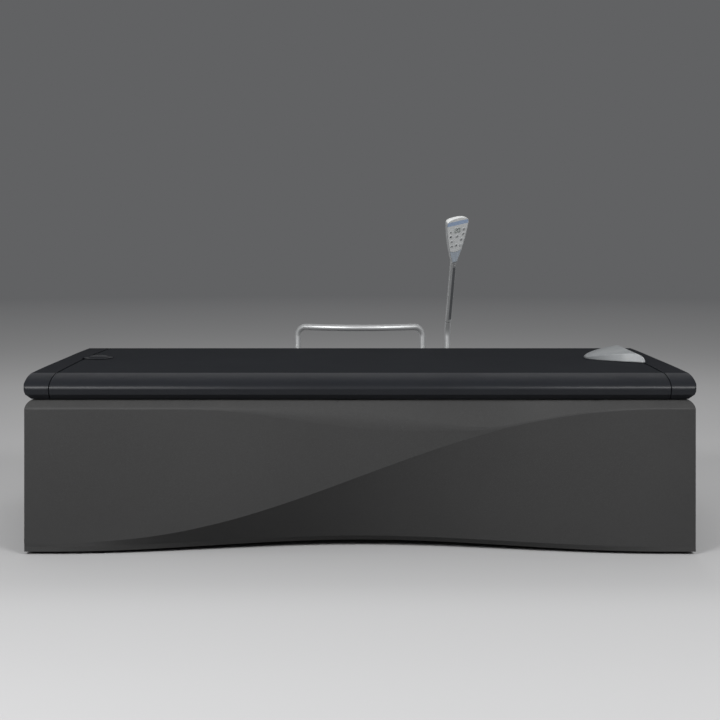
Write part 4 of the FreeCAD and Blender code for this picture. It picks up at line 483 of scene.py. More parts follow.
@dataclass(frozen=True)
class KeypadPrint(Finish):
    """Printed foil with a band across its top and a darker field towards its tip."""

    band: Rgb = (0.33, 0.42, 0.58)
    field_tone: Rgb = (0.4, 0.45, 0.51)
    line: Rgb = (0.05, 0.055, 0.06)
    axis: tuple[float, float, float] = (0.0, 0.0, 1.0)
    side: tuple[float, float, float] = (1.0, 0.0, 0.0)
    origin: tuple[float, float, float] = (0.0, 0.0, 0.0)
    band_from: float = 0.4545
    field_to: float = 0.333
    field_bow: float = 8.0
    line_width: float = 0.0012
    softness: float = 0.0004

    def pattern(self, surface: Surface, color: Socket) -> Socket:
        """Return the colour with the printed band and field."""
        point = surface.vector_math("SUBTRACT", surface.place(), self.origin).outputs[0]
        height = surface.vector_math("DOT_PRODUCT", point, self.axis).outputs["Value"]
        across = surface.vector_math("DOT_PRODUCT", point, self.side).outputs["Value"]
        bow = surface.math("MULTIPLY", surface.math("MULTIPLY", across, across), self.field_bow)
        bowed = surface.math("SUBTRACT", height, bow)
        line_to = self.field_to + self.line_width
        below = surface.remap(bowed, self.field_to - self.softness, self.field_to, 1.0, 0.0)
        rule = surface.remap(bowed, line_to - self.softness, line_to, 1.0, 0.0)
        above = surface.remap(height, self.band_from, self.band_from + self.softness)
        ruled = surface.mix(rule, color, rgba(self.line))
        lower = surface.mix(below, ruled, rgba(self.field_tone))
        return surface.mix(above, lower, rgba(self.band))


@dataclass(frozen=True)
class CircuitResist(Finish):
    """Solder resist with copper tracks."""

    copper: Rgb = (0.1, 0.32, 0.12)
    track_scale: float = 260.0
    track_span: Point2 = (0.03, 0.05)

    def pattern(self, surface: Surface, color: Socket) -> Socket:
        """Return the colour with the tracks in it."""
        cells = surface.cells(surface.place(), self.track_scale, "DISTANCE_TO_EDGE")
        tracks = surface.remap(cells.outputs["Distance"], *self.track_span, 1.0, 0.0)
        return surface.mix(tracks, color, rgba(self.copper))


class Wardrobe:
    """The finish of each material slot of the record."""

    def __init__(self, keypad: KeypadPrint) -> None:
        """List the finishes.

        Args:
            keypad: the print of the keypad, which needs the head's place.
        """
        self.finishes: dict[str, Finish] = {
            "panel_paint": FlakePaint(
                "anthracite_flake_paint", (0.043, 0.043, 0.043), 0.5, specular=0.12, drift=0.04,
                drift_scale=3.0, grain_scale=900.0, grain_height=0.00002, worn_and_lit_tone=(0.1, 0.1, 0.1), wear_and_highlight=0.35,
                dust=0.05, edge_radius=0.0012, flake=(0.11, 0.11, 0.114), flake_scale=1500.0,
                flake_share=0.3),
            # its level top is darkened by the painted shade of MouldedSkin
            "lid_skin": MouldedSkin(
                "satin_moulded_skin", (0.0125, 0.0137, 0.0167), 0.38, specular=0.24, drift=0.05,
                grain_scale=700.0, grain_height=0.00002, gloss_spread=0.04, worn_and_lit_tone=(0.05, 0.053, 0.06),
                wear_and_highlight=0.06, dust=0.006, edge_radius=0.001),
            "mat_rubber": Finish(
                "lying_rubber", (0.0135, 0.0148, 0.0175), 0.8, specular=0.06, drift=0.04, drift_scale=2.4,
                grain_scale=520.0, grain_height=0.00007, gloss_spread=0.06, worn_and_lit_tone=(0.04, 0.043, 0.05),
                wear_and_highlight=0.2, dust=0.004),
            # the light edge tone at a high amount paints a highlight along the pod's ridge, on top of its
            # edge wear
            "pod_silver": FlakePaint(
                "pod_silver_lacquer", (0.21, 0.221, 0.228), 0.42, metallic=0.08, drift=0.04,
                grain_scale=500.0, grain_height=0.000015, worn_and_lit_tone=(0.5, 0.52, 0.53), wear_and_highlight=0.85, dust=0.03,
                coat=0.1, flake=(0.36, 0.375, 0.385), flake_scale=1100.0, flake_share=0.22,
                edge_radius=0.005),
            "cap_black": Finish(
                "moulded_black", (0.0135, 0.0145, 0.017), 0.42, specular=0.2, grain_scale=800.0,
                grain_height=0.00002, worn_and_lit_tone=(0.05, 0.05, 0.055), wear_and_highlight=0.3, dust=0.02),
            "tube_satin": DrawnMetal(
                "satin_aluminium_tube", (0.61, 0.62, 0.625), 0.44, metallic=0.7, drift=0.03,
                grain_height=0.000012, worn_and_lit_tone=(0.85, 0.85, 0.86), wear_and_highlight=0.2, dust=0.0,
                stretch=(1.0, 1.0, 0.03), line_depth=0.05),
            "strip_grey": Finish(
                "groove_strip", (0.09, 0.094, 0.1), 0.5, grain_scale=1100.0, dust=0.0,
                worn_and_lit_tone=(0.3, 0.3, 0.31)),
            "head_silver": FlakePaint(
                "head_silver_lacquer", (0.56, 0.575, 0.585), 0.32, metallic=0.5, drift=0.03,
                grain_height=0.00001, worn_and_lit_tone=(0.75, 0.76, 0.77), wear_and_highlight=0.2, dust=0.0, coat=0.3,
                flake=(0.78, 0.79, 0.8), flake_scale=1600.0, flake_share=0.2),
            "head_white": Finish(
                "gloss_white_cap", (0.66, 0.672, 0.668), 0.2, drift=0.025, drift_scale=18.0,
                grain_height=0.000008, worn_and_lit_tone=(0.8, 0.8, 0.8), wear_and_highlight=0.15, dust=0.0, coat=0.4),
            "keypad_print": keypad,
            "display_glass": Finish(
                "display_pane", (0.52, 0.55, 0.54), 0.2, drift=0.05, drift_scale=60.0,
                grain_height=0.000004, worn_and_lit_tone=(0.45, 0.47, 0.46), wear_and_highlight=0.2, dust=0.0, coat=0.5),
            "board_green": CircuitResist("board_resist", (0.02, 0.13, 0.045), 0.35, dust=0.0),
            "frame_paint": FlakePaint(
                "frame_coat", (0.06, 0.061, 0.063), 0.5, grain_scale=380.0, grain_height=0.00008,
                worn_and_lit_tone=(0.3, 0.29, 0.28), wear_and_highlight=0.4, dust=0.12, flake=(0.14, 0.14, 0.14)),
            "tray_plastic": Finish(
                "tray_plastic", (0.032, 0.033, 0.035), 0.6, grain_scale=420.0, grain_height=0.00012,
                dust=0.2),
            "tub_plastic": Finish("tub_plastic", (0.05, 0.055, 0.06), 0.42, grain_scale=300.0, dust=0.02),
            "black_rubber": Finish(
                "black_rubber", (0.013, 0.013, 0.014), 0.72, specular=0.3, grain_scale=1000.0,
                grain_height=0.00008, worn_and_lit_tone=(0.05, 0.05, 0.05)),
            "foot_plastic": Finish(
                "foot_plastic", (0.022, 0.022, 0.024), 0.58, grain_scale=700.0, grain_height=0.00009,
                worn_and_lit_tone=(0.09, 0.09, 0.09), wear_and_highlight=0.4, dust=0.15),
            "zinc_steel": DrawnMetal(
                "zinc_plated_steel", (0.5, 0.5, 0.49), 0.36, metallic=1.0, drift=0.12, drift_scale=40.0,
                worn_and_lit_tone=(0.68, 0.67, 0.65), wear_and_highlight=0.4, line_depth=0.12),
            "socket_black": FlakePaint(
                "socket_casting", (0.035, 0.036, 0.038), 0.48, grain_scale=320.0, grain_height=0.00012,
                worn_and_lit_tone=(0.2, 0.2, 0.2), wear_and_highlight=0.35, dust=0.06, flake=(0.09, 0.09, 0.09)),
            "ring_dark": Finish("dark_ring", (0.07, 0.072, 0.075), 0.4, worn_and_lit_tone=(0.16, 0.16, 0.165), dust=0.0),
            "carriage_plastic": Finish("carriage_plastic", (0.4, 0.4, 0.39), 0.45, grain_scale=500.0),
            "pipe_plastic": Finish("pipe_plastic", (0.2, 0.205, 0.21), 0.38, grain_scale=300.0),
            "heater_steel": DrawnMetal(
                "heater_steel", (0.56, 0.55, 0.53), 0.32, metallic=1.0, drift=0.08,
                stretch=(0.03, 1.0, 1.0)),
            "motor_paint": FlakePaint(
                "motor_paint", (0.035, 0.06, 0.09), 0.42, grain_scale=350.0, grain_height=0.0001,
                worn_and_lit_tone=(0.3, 0.3, 0.3), wear_and_highlight=0.5, dust=0.1),
            "box_grey": Finish(
                "box_grey", (0.32, 0.325, 0.33), 0.5, grain_scale=600.0, grain_height=0.00009),
        }
        self.made: dict[str, bpy.types.Material] = {}

    def material(self, slot: str) -> bpy.types.Material:
        """Return the material of a slot, made when it is first asked for."""
        if slot not in self.made:
            self.made[slot] = self.finishes[slot].build()
        return self.made[slot]

    def dress_nodes(self) -> None:
        """Give every CAD node the finish of its slot."""
        for name, node in sorted(frame["nodes"].items()):
            for holder in node.material_slots:
                slot = holder.material.name
                holder.material = self.material(slot)
                LOG.info("%s: %s", name, self.finishes[slot].name)

    def dress(self, piece: bpy.types.Object, slot: str) -> None:
        """Give a modelled piece the finish of a slot."""
        piece.data.materials.append(self.material(slot))


# Mesh helpers

def object_of(name: str, sheet: bmesh.types.BMesh, material: Optional[bpy.types.Material] = None,
              smooth: bool = True) -> bpy.types.Object:
    """Turn a mesh under construction into an object in the scene.

    Args:
        name: the piece's name.
        sheet: the mesh, which is freed.
        material: its material, where that is known already.
        smooth: whether its faces are shaded smooth.

    Returns:
        The new object.
    """
    bmesh.ops.recalc_face_normals(sheet, faces=sheet.faces)
    mesh = bpy.data.meshes.new(name)
    sheet.to_mesh(mesh)
    sheet.free()
    mesh.polygons.foreach_set("use_smooth", [smooth] * len(mesh.polygons))
    if material is not None:
        mesh.materials.append(material)
    piece = bpy.data.objects.new(name, mesh)
    bpy.context.scene.collection.objects.link(piece)
    return piece


def round_points(radius: float, count: int) -> list[Point2]:
    """Return points round a circle about the origin."""
    angles = [2.0 * math.pi * i / count for i in range(count)]
    return [(radius * math.cos(a), radius * math.sin(a)) for a in angles]


def bridge(sheet: bmesh.types.BMesh, first: Sequence[bmesh.types.BMVert],
           second: Sequence[bmesh.types.BMVert], steps: int) -> None:
    """Add the faces between two rows of points that go round.

    Args:
        sheet: the mesh they go into.
        first: the points of one row, or a single point.
        second: the points of the other row, or a single point.
        steps: how many faces go round.
    """
    for i in range(steps):
        j = (i + 1) % steps
        corners = (first[i % len(first)], first[j % len(first)],
                   second[j % len(second)], second[i % len(second)])
        sheet.faces.new(list(dict.fromkeys(corners)))


def add_prism(sheet: bmesh.types.BMesh, outline: Sequence[Point2], low: float, high: float,
              place: Matrix) -> None:
    """Add a closed prism.

    Args:
        sheet: the mesh it goes into.
        outline: its corners, across and up.
        low: how far its back lies in front of the plane.
        high: how far its front lies in front of the plane.
        place: from across, up and out to the frame.
    """
    backs = [sheet.verts.new(place @ Vector((x, y, low))) for x, y in outline]
    fronts = [sheet.verts.new(place @ Vector((x, y, high))) for x, y in outline]
    sheet.faces.new(backs[::-1])
    sheet.faces.new(fronts)
    bridge(sheet, backs, fronts, len(outline))


def add_turned(sheet: bmesh.types.BMesh, profile: Sequence[Point2], place: Matrix, steps: int = 28,
               ring: bool = False) -> None:
    """Add a turned form.

    Args:
        sheet: the mesh it goes into.
        profile: its points, radius and height, from the axis back to the axis or round a ring's section.
        place: from the turned form to the frame.
        steps: how many faces go round.
        ring: whether the profile closes on itself, clear of the axis.
    """
    rows: list[list[bmesh.types.BMVert]] = []
    for radius, height in profile:
        points = round_points(radius, steps if radius > 0.0 else 1)
        rows.append([sheet.verts.new(place @ Vector((x, y, height))) for x, y in points])
    for lower, upper in zip(rows, rows[1:] + rows[:1] if ring else rows[1:]):
        bridge(sheet, lower, upper, steps)


# Sub-assemblies

@dataclass
class LyingSurface:
    """Crowned rubber surface of the lid, clamped all round by a thin margin."""

    wardrobe: Wardrobe
    crown: float = 0.005
    margin: float = 0.024
    margin_rise: float = 0.004
    roll: float = 0.006
    slack: float = 0.0005
    slack_fade: float = 8.0
    long_waves: tuple[Point2, Point2] = ((3.1, 0.7), (4.7, -0.4))
    short_waves: Point2 = (7.3, 5.1)
    short_share: float = 0.5
    columns: int = 170
    rows: int = 80
    neck_radius: float = 0.018
    neck_steps: int = 48
    roll_steps: tuple[float, ...] = (0.0, 0.04, 0.15, 0.35, 0.65, 1.0)

    def lines(self, low: float, high: float, count: int) -> list[float]:
        """Return grid lines across a side, close together at its rolled edges.

        Args:
            low: where the margin starts.
            high: where the margin ends.
            count: how many lines lie between the rolled edges.

        Returns:
            The places of the lines.
        """
        first = low + self.margin
        last = high - self.margin
        edge = [self.roll * share for share in self.roll_steps]
        inside = [first + self.roll + (last - first - 2.0 * self.roll) * i / count for i in range(1, count)]
        return [low, *(first + e for e in edge), *inside, *(last - e for e in reversed(edge)), high]

    def swell(self, inward: float) -> float:
        """Return the share of the full height at a distance in from the edge."""
        if inward <= 0.0:
            return 0.0
        share = min(1.0, inward / self.roll)
        return math.sqrt(1.0 - (1.0 - share) ** 2)

    def ripple(self, x: float, y: float) -> float:
        """Return how far the filled rubber stands off its even crown."""
        (along, along_start), (across, across_start) = self.long_waves
        long_wave = math.sin(along * x + along_start) * math.cos(across * y + across_start)
        short_wave = math.sin(self.short_waves[0] * x + self.short_waves[1] * y)
        return self.slack * (long_wave + self.short_share * short_wave) / (1.0 + self.short_share)

    def top(self, x: float, y: float, low: Vector, high: Vector) -> float:
        """Return the height of the top at a point.

        Args:
            x: the point's place along the bed.
            y: the point's place across the bed.
            low: lower corner of the CAD solid's box.
            high: upper corner of the CAD solid's box.

        Returns:
            The height in the frame.
        """
        rim = low.z + self.margin_rise
        inward = min(x - low.x, high.x - x, y - low.y, high.y - y) - self.margin
        share = self.swell(inward)
        if share <= 0.0:
            return rim
        middle = (low.y + high.y) / 2.0
        half = (high.y - low.y) / 2.0 - self.margin
        full = high.z - self.crown * ((y - middle) / half) ** 2
        ripple = self.ripple(x, y) * min(1.0, inward / (self.slack_fade * self.roll))
        return rim + (full - rim) * share - self.slack + ripple

    def build(self) -> bpy.types.Object:
        """Model the surface and put it in the place of its CAD solid.

        Returns:
            The piece.
        """
        low, high = (Vector(corner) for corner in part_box("lying_mat"))
        neck_low, neck_high = (Vector(corner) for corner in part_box("filler_neck"))
        ys = self.lines(low.y, high.y, self.rows)
        sheet = bmesh.new()
        top, bottom = [], []
        for x in self.lines(low.x, high.x, self.columns):
            top.append([sheet.verts.new((x, y, self.top(x, y, low, high))) for y in ys])
            bottom.append([sheet.verts.new((x, y, low.z)) for y in (ys[0], ys[-1])])
        self.close(sheet, top, bottom)
        piece = object_of("lying_surface", sheet)
        self.bore(piece, (neck_low + neck_high) / 2.0, high.z - low.z)
        self.wardrobe.dress(piece, "mat_rubber")
        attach(piece, Body.LOUNGER.value)
        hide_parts("lying_mat")
        LOG.info("lying_surface: %d faces", len(piece.data.polygons))
        return piece

    @staticmethod
    def close(sheet: bmesh.types.BMesh, top: list[list[bmesh.types.BMVert]],
              bottom: list[list[bmesh.types.BMVert]]) -> None:
        """Add the faces of the top, the flat underside and the four sides.

        Args:
            sheet: the mesh they go into.
            top: points of the top, column by column.
            bottom: the underside's two points of each column.
        """
        for i in range(len(top) - 1):
            for j in range(len(top[0]) - 1):
                sheet.faces.new((top[i][j], top[i + 1][j], top[i + 1][j + 1], top[i][j + 1]))
            sheet.faces.new((bottom[i][0], bottom[i][1], bottom[i + 1][1], bottom[i + 1][0]))
            sheet.faces.new((top[i][0], bottom[i][0], bottom[i + 1][0], top[i + 1][0]))
            sheet.faces.new((top[i][-1], top[i + 1][-1], bottom[i + 1][1], bottom[i][1]))
        for column, (front, back) in ((top[0], bottom[0]), (top[-1], bottom[-1])):
            sheet.faces.new((*column, back, front))

    def bore(self, piece: bpy.types.Object, centre: Vector, height: float) -> None:
        """Cut the hole that the filler neck stands in.

        Args:
            piece: the lying surface.
            centre: a point on the neck's axis.
            height: the surface's thickness.
        """
        sheet = bmesh.new()
        place = Matrix.Translation((centre.x, centre.y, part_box("lying_mat")[0][2]))
        reach = 2.0 * height
        profile = [(0.0, -height), (self.neck_radius, -height), (self.neck_radius, reach), (0.0, reach)]
        add_turned(sheet, profile, place, self.neck_steps)
        cutter = object_of("neck_cutter", sheet, smooth=False)
        cut = piece.modifiers.new("neck_hole", "BOOLEAN")
        cut.object = cutter
        cut.operation = "DIFFERENCE"
        graph = bpy.context.evaluated_depsgraph_get()
        mesh = bpy.data.meshes.new_from_object(piece.evaluated_get(graph))
        piece.modifiers.clear()
        piece.data = mesh
        bpy.data.objects.remove(cutter)


@dataclass
class ControlHead:
    """Print, keys and display of the control head."""

    key_radius: float = 0.006
    key_height: float = 0.00012
    mark_height: float = 0.00018
    mark_size: float = 0.0046
    digit_width: float = 0.0092
    digit_height: float = 0.0165
    digit_pitch: float = 0.013
    bar: float = 0.0018
    dome_profile: tuple[Point2, ...] = ((1.0, 0.0), (0.9, 0.5), (0.75, 0.85), (0.5, 1.0))
    ring_steps: int = 24
    bar_steps: tuple[Point2, ...] = ((-0.8, -0.1), (-0.2, 0.4), (0.4, 0.9))
    digits: str = "20"
    keys: tuple[tuple[float, float, Mark], ...] = (
        (-0.031, 0.428, Mark.DIAMOND),
        (0.031, 0.432, Mark.RING),
        (-0.0295, 0.407, Mark.SQUARE),
        (0.0, 0.404, Mark.BARS),
        (0.0305, 0.411, Mark.RIGHT),
        (-0.0225, 0.384, Mark.UP),
        (0.0225, 0.386, Mark.PLUS),
        (-0.0205, 0.362, Mark.DOWN),
        (0.0, 0.364, Mark.LEFT),
        (0.0205, 0.361, Mark.MINUS),
    )
    segments: Mapping[str, str] = field(default_factory=lambda: {"0": "abcdef", "2": "abged"})

    def __post_init__(self) -> None:
        """Find the head's own directions from its joint and its foil."""
        joint = next(j for j in frame["joints"] if j["name"] == "control_swivel")
        self.origin = Vector(joint["pos_m"])
        self.up = Vector(joint["axis"]).normalized()
        foil = frame["nodes"]["keypad_foil"].data
        facing = Vector()
        for face in foil.polygons:
            if face.normal.y < 0.0:
                facing += face.normal * face.area
        self.out = (facing - self.up * facing.dot(self.up)).normalized()
        self.side = self.up.cross(self.out)
        self.face = max(self.along(foil, self.out))
        pane = frame["nodes"]["display_window"].data
        self.pane_face = max(self.along(pane, self.out))
        heights = self.along(pane, self.up)
        self.pane_middle = (min(heights) + max(heights)) / 2.0

    def along(self, mesh: bpy.types.Mesh, direction: Vector) -> list[float]:
        """Return how far each point of a mesh lies from the arm's foot in a direction."""
        return [(v.co - self.origin).dot(direction) for v in mesh.vertices]

    def place(self, out: float) -> Matrix:
        """Return the way from across, up and out of a plane on the head to the frame.

        Args:
            out: how far the plane lies in front of the arm's axis.

        Returns:
            The matrix.
        """
        turn = Matrix((self.side, self.up, self.out)).transposed().to_4x4()
        return Matrix.Translation(self.origin + self.out * out) @ turn

    def print_finish(self) -> KeypadPrint:
        """Return the finish of the keypad's foil."""
        return KeypadPrint("keypad_print", (0.62, 0.635, 0.64), 0.36, drift=0.03, drift_scale=30.0,
                           grain_scale=2200.0, grain_height=0.00002, worn_and_lit_tone=(0.5, 0.52, 0.53), wear_and_highlight=0.1,
                           dust=0.0, axis=tuple(self.up), side=tuple(self.side), origin=tuple(self.origin))

    def build(self, wardrobe: Wardrobe) -> list[bpy.types.Object]:
        """Model the keys, their marks and the figures of the display.

        Args:
            wardrobe: not used.

        Returns:
            The pieces.
        """
        fine = {"grain_height": 0.00001, "edge_radius": 0.00004, "wear_and_highlight": 0.0, "dust": 0.0}
        ink = Finish("key_ink", (0.06, 0.063, 0.07), 0.5, drift=0.1, drift_scale=300.0, **fine).build()
        cap = Finish("key_gloss", (0.62, 0.635, 0.64), 0.4, drift=0.03, drift_scale=80.0, **fine).build()
        pieces = [self.domes(cap), self.marks(ink), self.figures(ink)]
        for piece in pieces:
            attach(piece, Body.CONTROL_ARM.value)
            LOG.info("%s: %d faces", piece.name, len(piece.data.polygons))
        return pieces

    def domes(self, material: bpy.types.Material) -> bpy.types.Object:
        """Return the low domes that the keys are embossed as."""
        sheet = bmesh.new()
        plane = self.place(self.face)
        slope = [(r * self.key_radius, h * self.key_height) for r, h in self.dome_profile]
        profile = [(0.0, 0.0), *slope, (0.0, self.key_height)]
        for x, z, _mark in self.keys:
            add_turned(sheet, profile, plane @ Matrix.Translation((x, z, 0.0)))
        return object_of("keypad_domes", sheet, material)

    def marks(self, material: bpy.types.Material) -> bpy.types.Object:
        """Return the marks printed on the keys."""
        sheet = bmesh.new()
        for x, z, mark in self.keys:
            plane = self.place(self.face + self.key_height) @ Matrix.Translation((x, z, 0.0))
            self.add_mark(sheet, mark, plane)
        return object_of("keypad_marks", sheet, material, smooth=False)

    def add_mark(self, sheet: bmesh.types.BMesh, mark: Mark, plane: Matrix) -> None:
        """Add one mark.

        Args:
            sheet: the mesh it goes into.
            mark: which one.
            plane: from across, up and out to the frame.
        """
        s = self.mark_size
        thin = 0.24 * s
        inset = 0.8 * s
        foot = 0.6 * s
        stroke = 1.6 * thin
        arrow = [(-s, -foot), (s, -foot), (0.0, s)]
        cross = [(-s, -thin), (-thin, -thin), (-thin, -s), (thin, -s), (thin, -thin), (s, -thin),
                 (s, thin), (thin, thin), (thin, s), (-thin, s), (-thin, thin), (-s, thin)]
        bars = [(x * s, x * s + stroke, top * s) for x, top in self.bar_steps]
        outlines: dict[Mark, list[list[Point2]]] = {
            Mark.UP: [arrow],
            Mark.DOWN: [[(-x, -y) for x, y in arrow]],
            Mark.LEFT: [[(-y, x) for x, y in arrow]],
            Mark.RIGHT: [[(y, -x) for x, y in arrow]],
            Mark.PLUS: [cross],
            Mark.MINUS: [[(-s, -thin), (s, -thin), (s, thin), (-s, thin)]],
            Mark.DIAMOND: [[(0.0, -s), (inset, 0.0), (0.0, s), (-inset, 0.0)]],
            Mark.SQUARE: [[(-inset, -inset), (inset, -inset), (inset, inset), (-inset, inset)]],
            Mark.BARS: [[(x, -inset), (end, -inset), (end, top), (x, top)] for x, end, top in bars],
            Mark.RING: [],
        }
        for outline in outlines[mark]:
            add_prism(sheet, outline, 0.0, self.mark_height, plane)
        if mark is Mark.RING:
            section = [(s, 0.0), (s, self.mark_height), (foot, self.mark_height), (foot, 0.0)]
            add_turned(sheet, section, plane, self.ring_steps, ring=True)

    def figures(self, material: bpy.types.Material) -> bpy.types.Object:
        """Return the two figures that the display shows."""
        sheet = bmesh.new()
        plane = self.place(self.pane_face)
        first = -self.digit_pitch * (len(self.digits) - 1) / 2.0
        for i, digit in enumerate(self.digits):
            here = plane @ Matrix.Translation((first + i * self.digit_pitch, self.pane_middle, 0.0))
            for segment in self.segments[digit]:
                add_prism(sheet, self.segment(segment), 0.0, self.mark_height, here)
        return object_of("display_figures", sheet, material, smooth=False)

    def segment(self, name: str) -> list[Point2]:
        """Return the outline of one bar of a seven-bar figure.

        Args:
            name: a to g, as they are usually named.

        Returns:
            Its corners.
        """
        w, h, b = self.digit_width / 2.0, self.digit_height / 2.0, self.bar / 2.0
        level = {"a": h, "g": 0.0, "d": -h}
        if name in level:
            y = level[name]
            return [(-w + b, y), (-w + 2.0 * b, y - b), (w - 2.0 * b, y - b),
                    (w - b, y), (w - 2.0 * b, y + b), (-w + 2.0 * b, y + b)]
        x = w if name in "bc" else -w
        low, high = (0.0, h) if name in "bf" else (-h, 0.0)
        return [(x, low + b), (x + b, low + 2.0 * b), (x + b, high - 2.0 * b), (x, high - b),
                (x - b, high - 2.0 * b), (x - b, low + 2.0 * b)]


@dataclass
class RearFixings:
    """Countersunk screws that hold the rear panel."""

    wardrobe: Wardrobe
    head_radius: float = 0.0055
    head_proud: float = 0.0009
    socket_radius: float = 0.0026
    socket_depth: float = 0.0006
    head_profile: tuple[Point2, ...] = ((1.0, 0.0), (1.0, 0.3), (0.86, 0.8), (0.7, 1.0))
    steps: int = 30
    places: tuple[Point2, ...] = ((-1.02, 0.44), (-0.34, 0.462), (0.34, 0.39), (1.02, 0.44),
                                  (-1.02, 0.07), (-0.34, 0.07), (0.34, 0.07), (1.02, 0.07))

    def build(self) -> bpy.types.Object:
        """Model the screw heads.

        Returns:
            The piece.
        """
        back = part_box("rear_panel")[1][1]
        upright = Matrix.Rotation(-math.pi / 2.0, 4, "X")
        sheet = bmesh.new()
        floor = self.head_proud - self.socket_depth
        slope = [(r * self.head_radius, h * self.head_proud) for r, h in self.head_profile]
        profile = [(0.0, 0.0), *slope, (self.socket_radius, self.head_proud), (self.socket_radius, floor),
                   (0.0, floor)]
        for x, z in self.places:
            add_turned(sheet, profile, Matrix.Translation((x, back, z)) @ upright, self.steps)
        piece = object_of("rear_panel_screws", sheet)
        self.wardrobe.dress(piece, "zinc_steel")
        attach(piece, Body.LOUNGER.value)
        LOG.info("rear_panel_screws: %d", len(self.places))
        return piece


# Studio

@dataclass(frozen=True)
class Lamp:
    """A soft rectangular lamp, mirrored in gloss or not."""

    name: str
    place: tuple[float, float, float]
    aim: tuple[float, float, float]
    width: float
    height: float
    power: float
    mirrored: bool = True

    def build(self) -> bpy.types.Object:
        """Hang the lamp.

        Returns:
            The lamp.
        """
        data = bpy.data.lights.new(self.name, "AREA")
        data.shape = "RECTANGLE"
        data.size = self.width
        data.size_y = self.height
        data.energy = self.power
        lamp = bpy.data.objects.new(self.name, data)
        lamp.location = self.place
        lamp.visible_glossy = self.mirrored
        aim = Vector(self.aim) - Vector(self.place)
        lamp.rotation_euler = aim.to_track_quat("-Z", "Y").to_euler()
        bpy.context.scene.collection.objects.link(lamp)
        LOG.info("lamp %s", self.name)
        return lamp


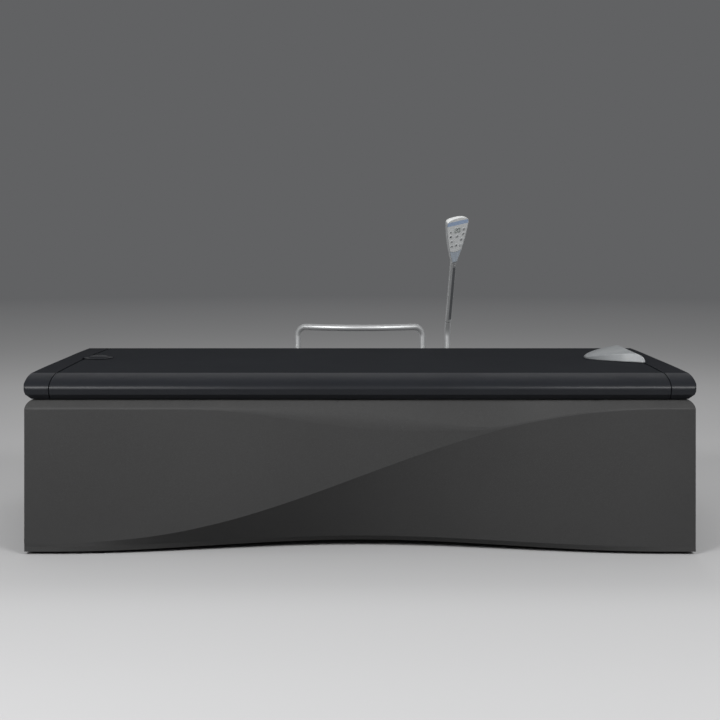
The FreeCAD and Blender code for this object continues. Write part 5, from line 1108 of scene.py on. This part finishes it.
@dataclass
class Studio:
    """Pale floor, grey backdrop, soft lamps and the camera of the photograph."""

    backdrop: Rgb = (0.12, 0.1215, 0.125)
    floor_tone: Rgb = (0.42, 0.42, 0.424)
    bounce_tone: Rgb = (0.12, 0.12, 0.12)
    floor_radius: float = 40.0
    floor_steps: int = 96
    floor_roughness: float = 0.9
    floor_specular: float = 0.1
    fade_from: float = 4.5
    fade_to: float = 16.0
    dome_low: float = 0.05
    dome_high: float = 0.6
    dome_rise: float = 0.9
    camera_distance: float = 4.0
    camera_height: float = 1.06
    focal_pixels: float = 1215.0
    horizon_row: float = 233.0
    sensor: float = 36.0
    view_depth: float = 200.0
    lamps: tuple[Lamp, ...] = (
        Lamp("left_key", (-2.4, -3.3, 3.1), (-0.3, -0.5, 0.4), 1.5, 1.1, 116.0),
        Lamp("right_key", (2.3, -3.3, 3.1), (0.3, -0.5, 0.4), 1.5, 1.1, 106.0),
        Lamp("left_strip", (-1.6, -3.4, 1.75), (-0.9, -0.55, 0.55), 1.3, 0.2, 19.0),
        Lamp("right_strip", (1.7, -3.4, 1.75), (0.95, -0.55, 0.55), 1.0, 0.2, 5.8),
        Lamp("rear_fill", (0.4, 2.9, 4.8), (0.0, 0.3, 0.5), 2.6, 1.6, 62.0, False),
        Lamp("rear_strip", (0.0, 4.5, 3.25), (0.0, -0.5, 0.59), 5.6, 0.35, 8.6),
    )

    def build(self) -> None:
        """Set up the studio."""
        self.view()
        self.floor()
        self.world()
        for lamp in self.lamps:
            lamp.build()
        bpy.context.scene.view_settings.view_transform = "Standard"

    def view(self) -> bpy.types.Object:
        """Place the camera of the photograph, level and with a shifted lens.

        Returns:
            The camera.
        """
        data = bpy.data.cameras.new("photo_camera")
        data.sensor_width = self.sensor
        data.lens = self.focal_pixels / PHOTO_SIZE * self.sensor
        data.shift_y = (self.horizon_row - PHOTO_SIZE / 2.0) / PHOTO_SIZE
        data.clip_end = self.view_depth
        camera = bpy.data.objects.new("photo_camera", data)
        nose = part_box("front_edge_rail")[0][1]
        camera.location = (0.0, nose - self.camera_distance, self.camera_height)
        camera.rotation_euler = (math.pi / 2.0, 0.0, 0.0)
        bpy.context.scene.collection.objects.link(camera)
        bpy.context.scene.camera = camera
        LOG.info("camera %.1f mm", data.lens)
        return camera

    def floor(self) -> bpy.types.Object:
        """Lay the floor, which fades into the backdrop far away.

        Returns:
            The floor.
        """
        sheet = bmesh.new()
        bmesh.ops.create_circle(sheet, cap_ends=True, radius=self.floor_radius, segments=self.floor_steps)
        floor = object_of("studio_floor", sheet)
        surface = Surface("studio_floor")
        surface.dress({"Base Color": rgba(self.floor_tone), "Roughness": self.floor_roughness,
                       "Specular IOR Level": self.floor_specular})
        away = surface.vector_math("LENGTH", surface.place()).outputs["Value"]
        fade = surface.remap(away, self.fade_from, self.fade_to)
        far = surface.add("ShaderNodeEmission", {"Color": rgba(self.backdrop)})
        shown = surface.add("ShaderNodeMixShader", {0: fade, 1: surface.shader.outputs[0], 2: far.outputs[0]})
        bounce = surface.add("ShaderNodeBsdfDiffuse", {"Color": rgba(self.bounce_tone)})
        self.show(surface, bounce, shown, "Material Output")
        floor.data.materials.append(surface.material)
        return floor

    def world(self) -> None:
        """Light the scene from a soft white dome, and show an even grey backdrop in its place."""
        world = bpy.data.worlds.new("studio_dome")
        world.use_nodes = True
        bpy.context.scene.world = world
        sheet = NodeSheet(world.node_tree)
        direction = sheet.add("ShaderNodeTexCoord").outputs["Generated"]
        height = sheet.add("ShaderNodeSeparateXYZ", {0: direction}).outputs["Z"]
        strength = sheet.remap(height, 0.0, self.dome_rise, self.dome_low, self.dome_high)
        dome = sheet.add("ShaderNodeBackground", {"Color": WHITE, "Strength": strength})
        shown = sheet.add("ShaderNodeBackground", {"Color": rgba(self.backdrop)})
        self.show(sheet, dome, shown, "World Output")

    @staticmethod
    def show(sheet: NodeSheet, lighting: bpy.types.Node, shown: bpy.types.Node, output: str) -> None:
        """Show one shader, also in gloss and through glass, and light the scene with another.

        Args:
            sheet: the node tree of the material or the world.
            lighting: the shader for light on its way.
            shown: the shader that is seen.
            output: the name of the tree's output node.
        """
        path = sheet.add("ShaderNodeLightPath").outputs
        direct = sheet.math("MAXIMUM", path["Is Camera Ray"], path["Is Glossy Ray"])
        seen = sheet.math("MAXIMUM", direct, path["Is Transmission Ray"])
        feeds = {0: seen, 1: lighting.outputs[0], 2: shown.outputs[0]}
        blend = sheet.add("ShaderNodeMixShader", feeds)
        sheet.feed(sheet.tree.nodes[output].inputs["Surface"], blend.outputs[0])


def main() -> None:
    """Dress the lounger and set up the studio round it."""
    logging.basicConfig(level=logging.INFO, format="%(name)s: %(message)s")
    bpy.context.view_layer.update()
    Studio().build()
    head = ControlHead()
    wardrobe = Wardrobe(head.print_finish())
    wardrobe.dress_nodes()
    LyingSurface(wardrobe).build()
    head.build(wardrobe)
    RearFixings(wardrobe).build()


if __name__ == "__main__":
    main()
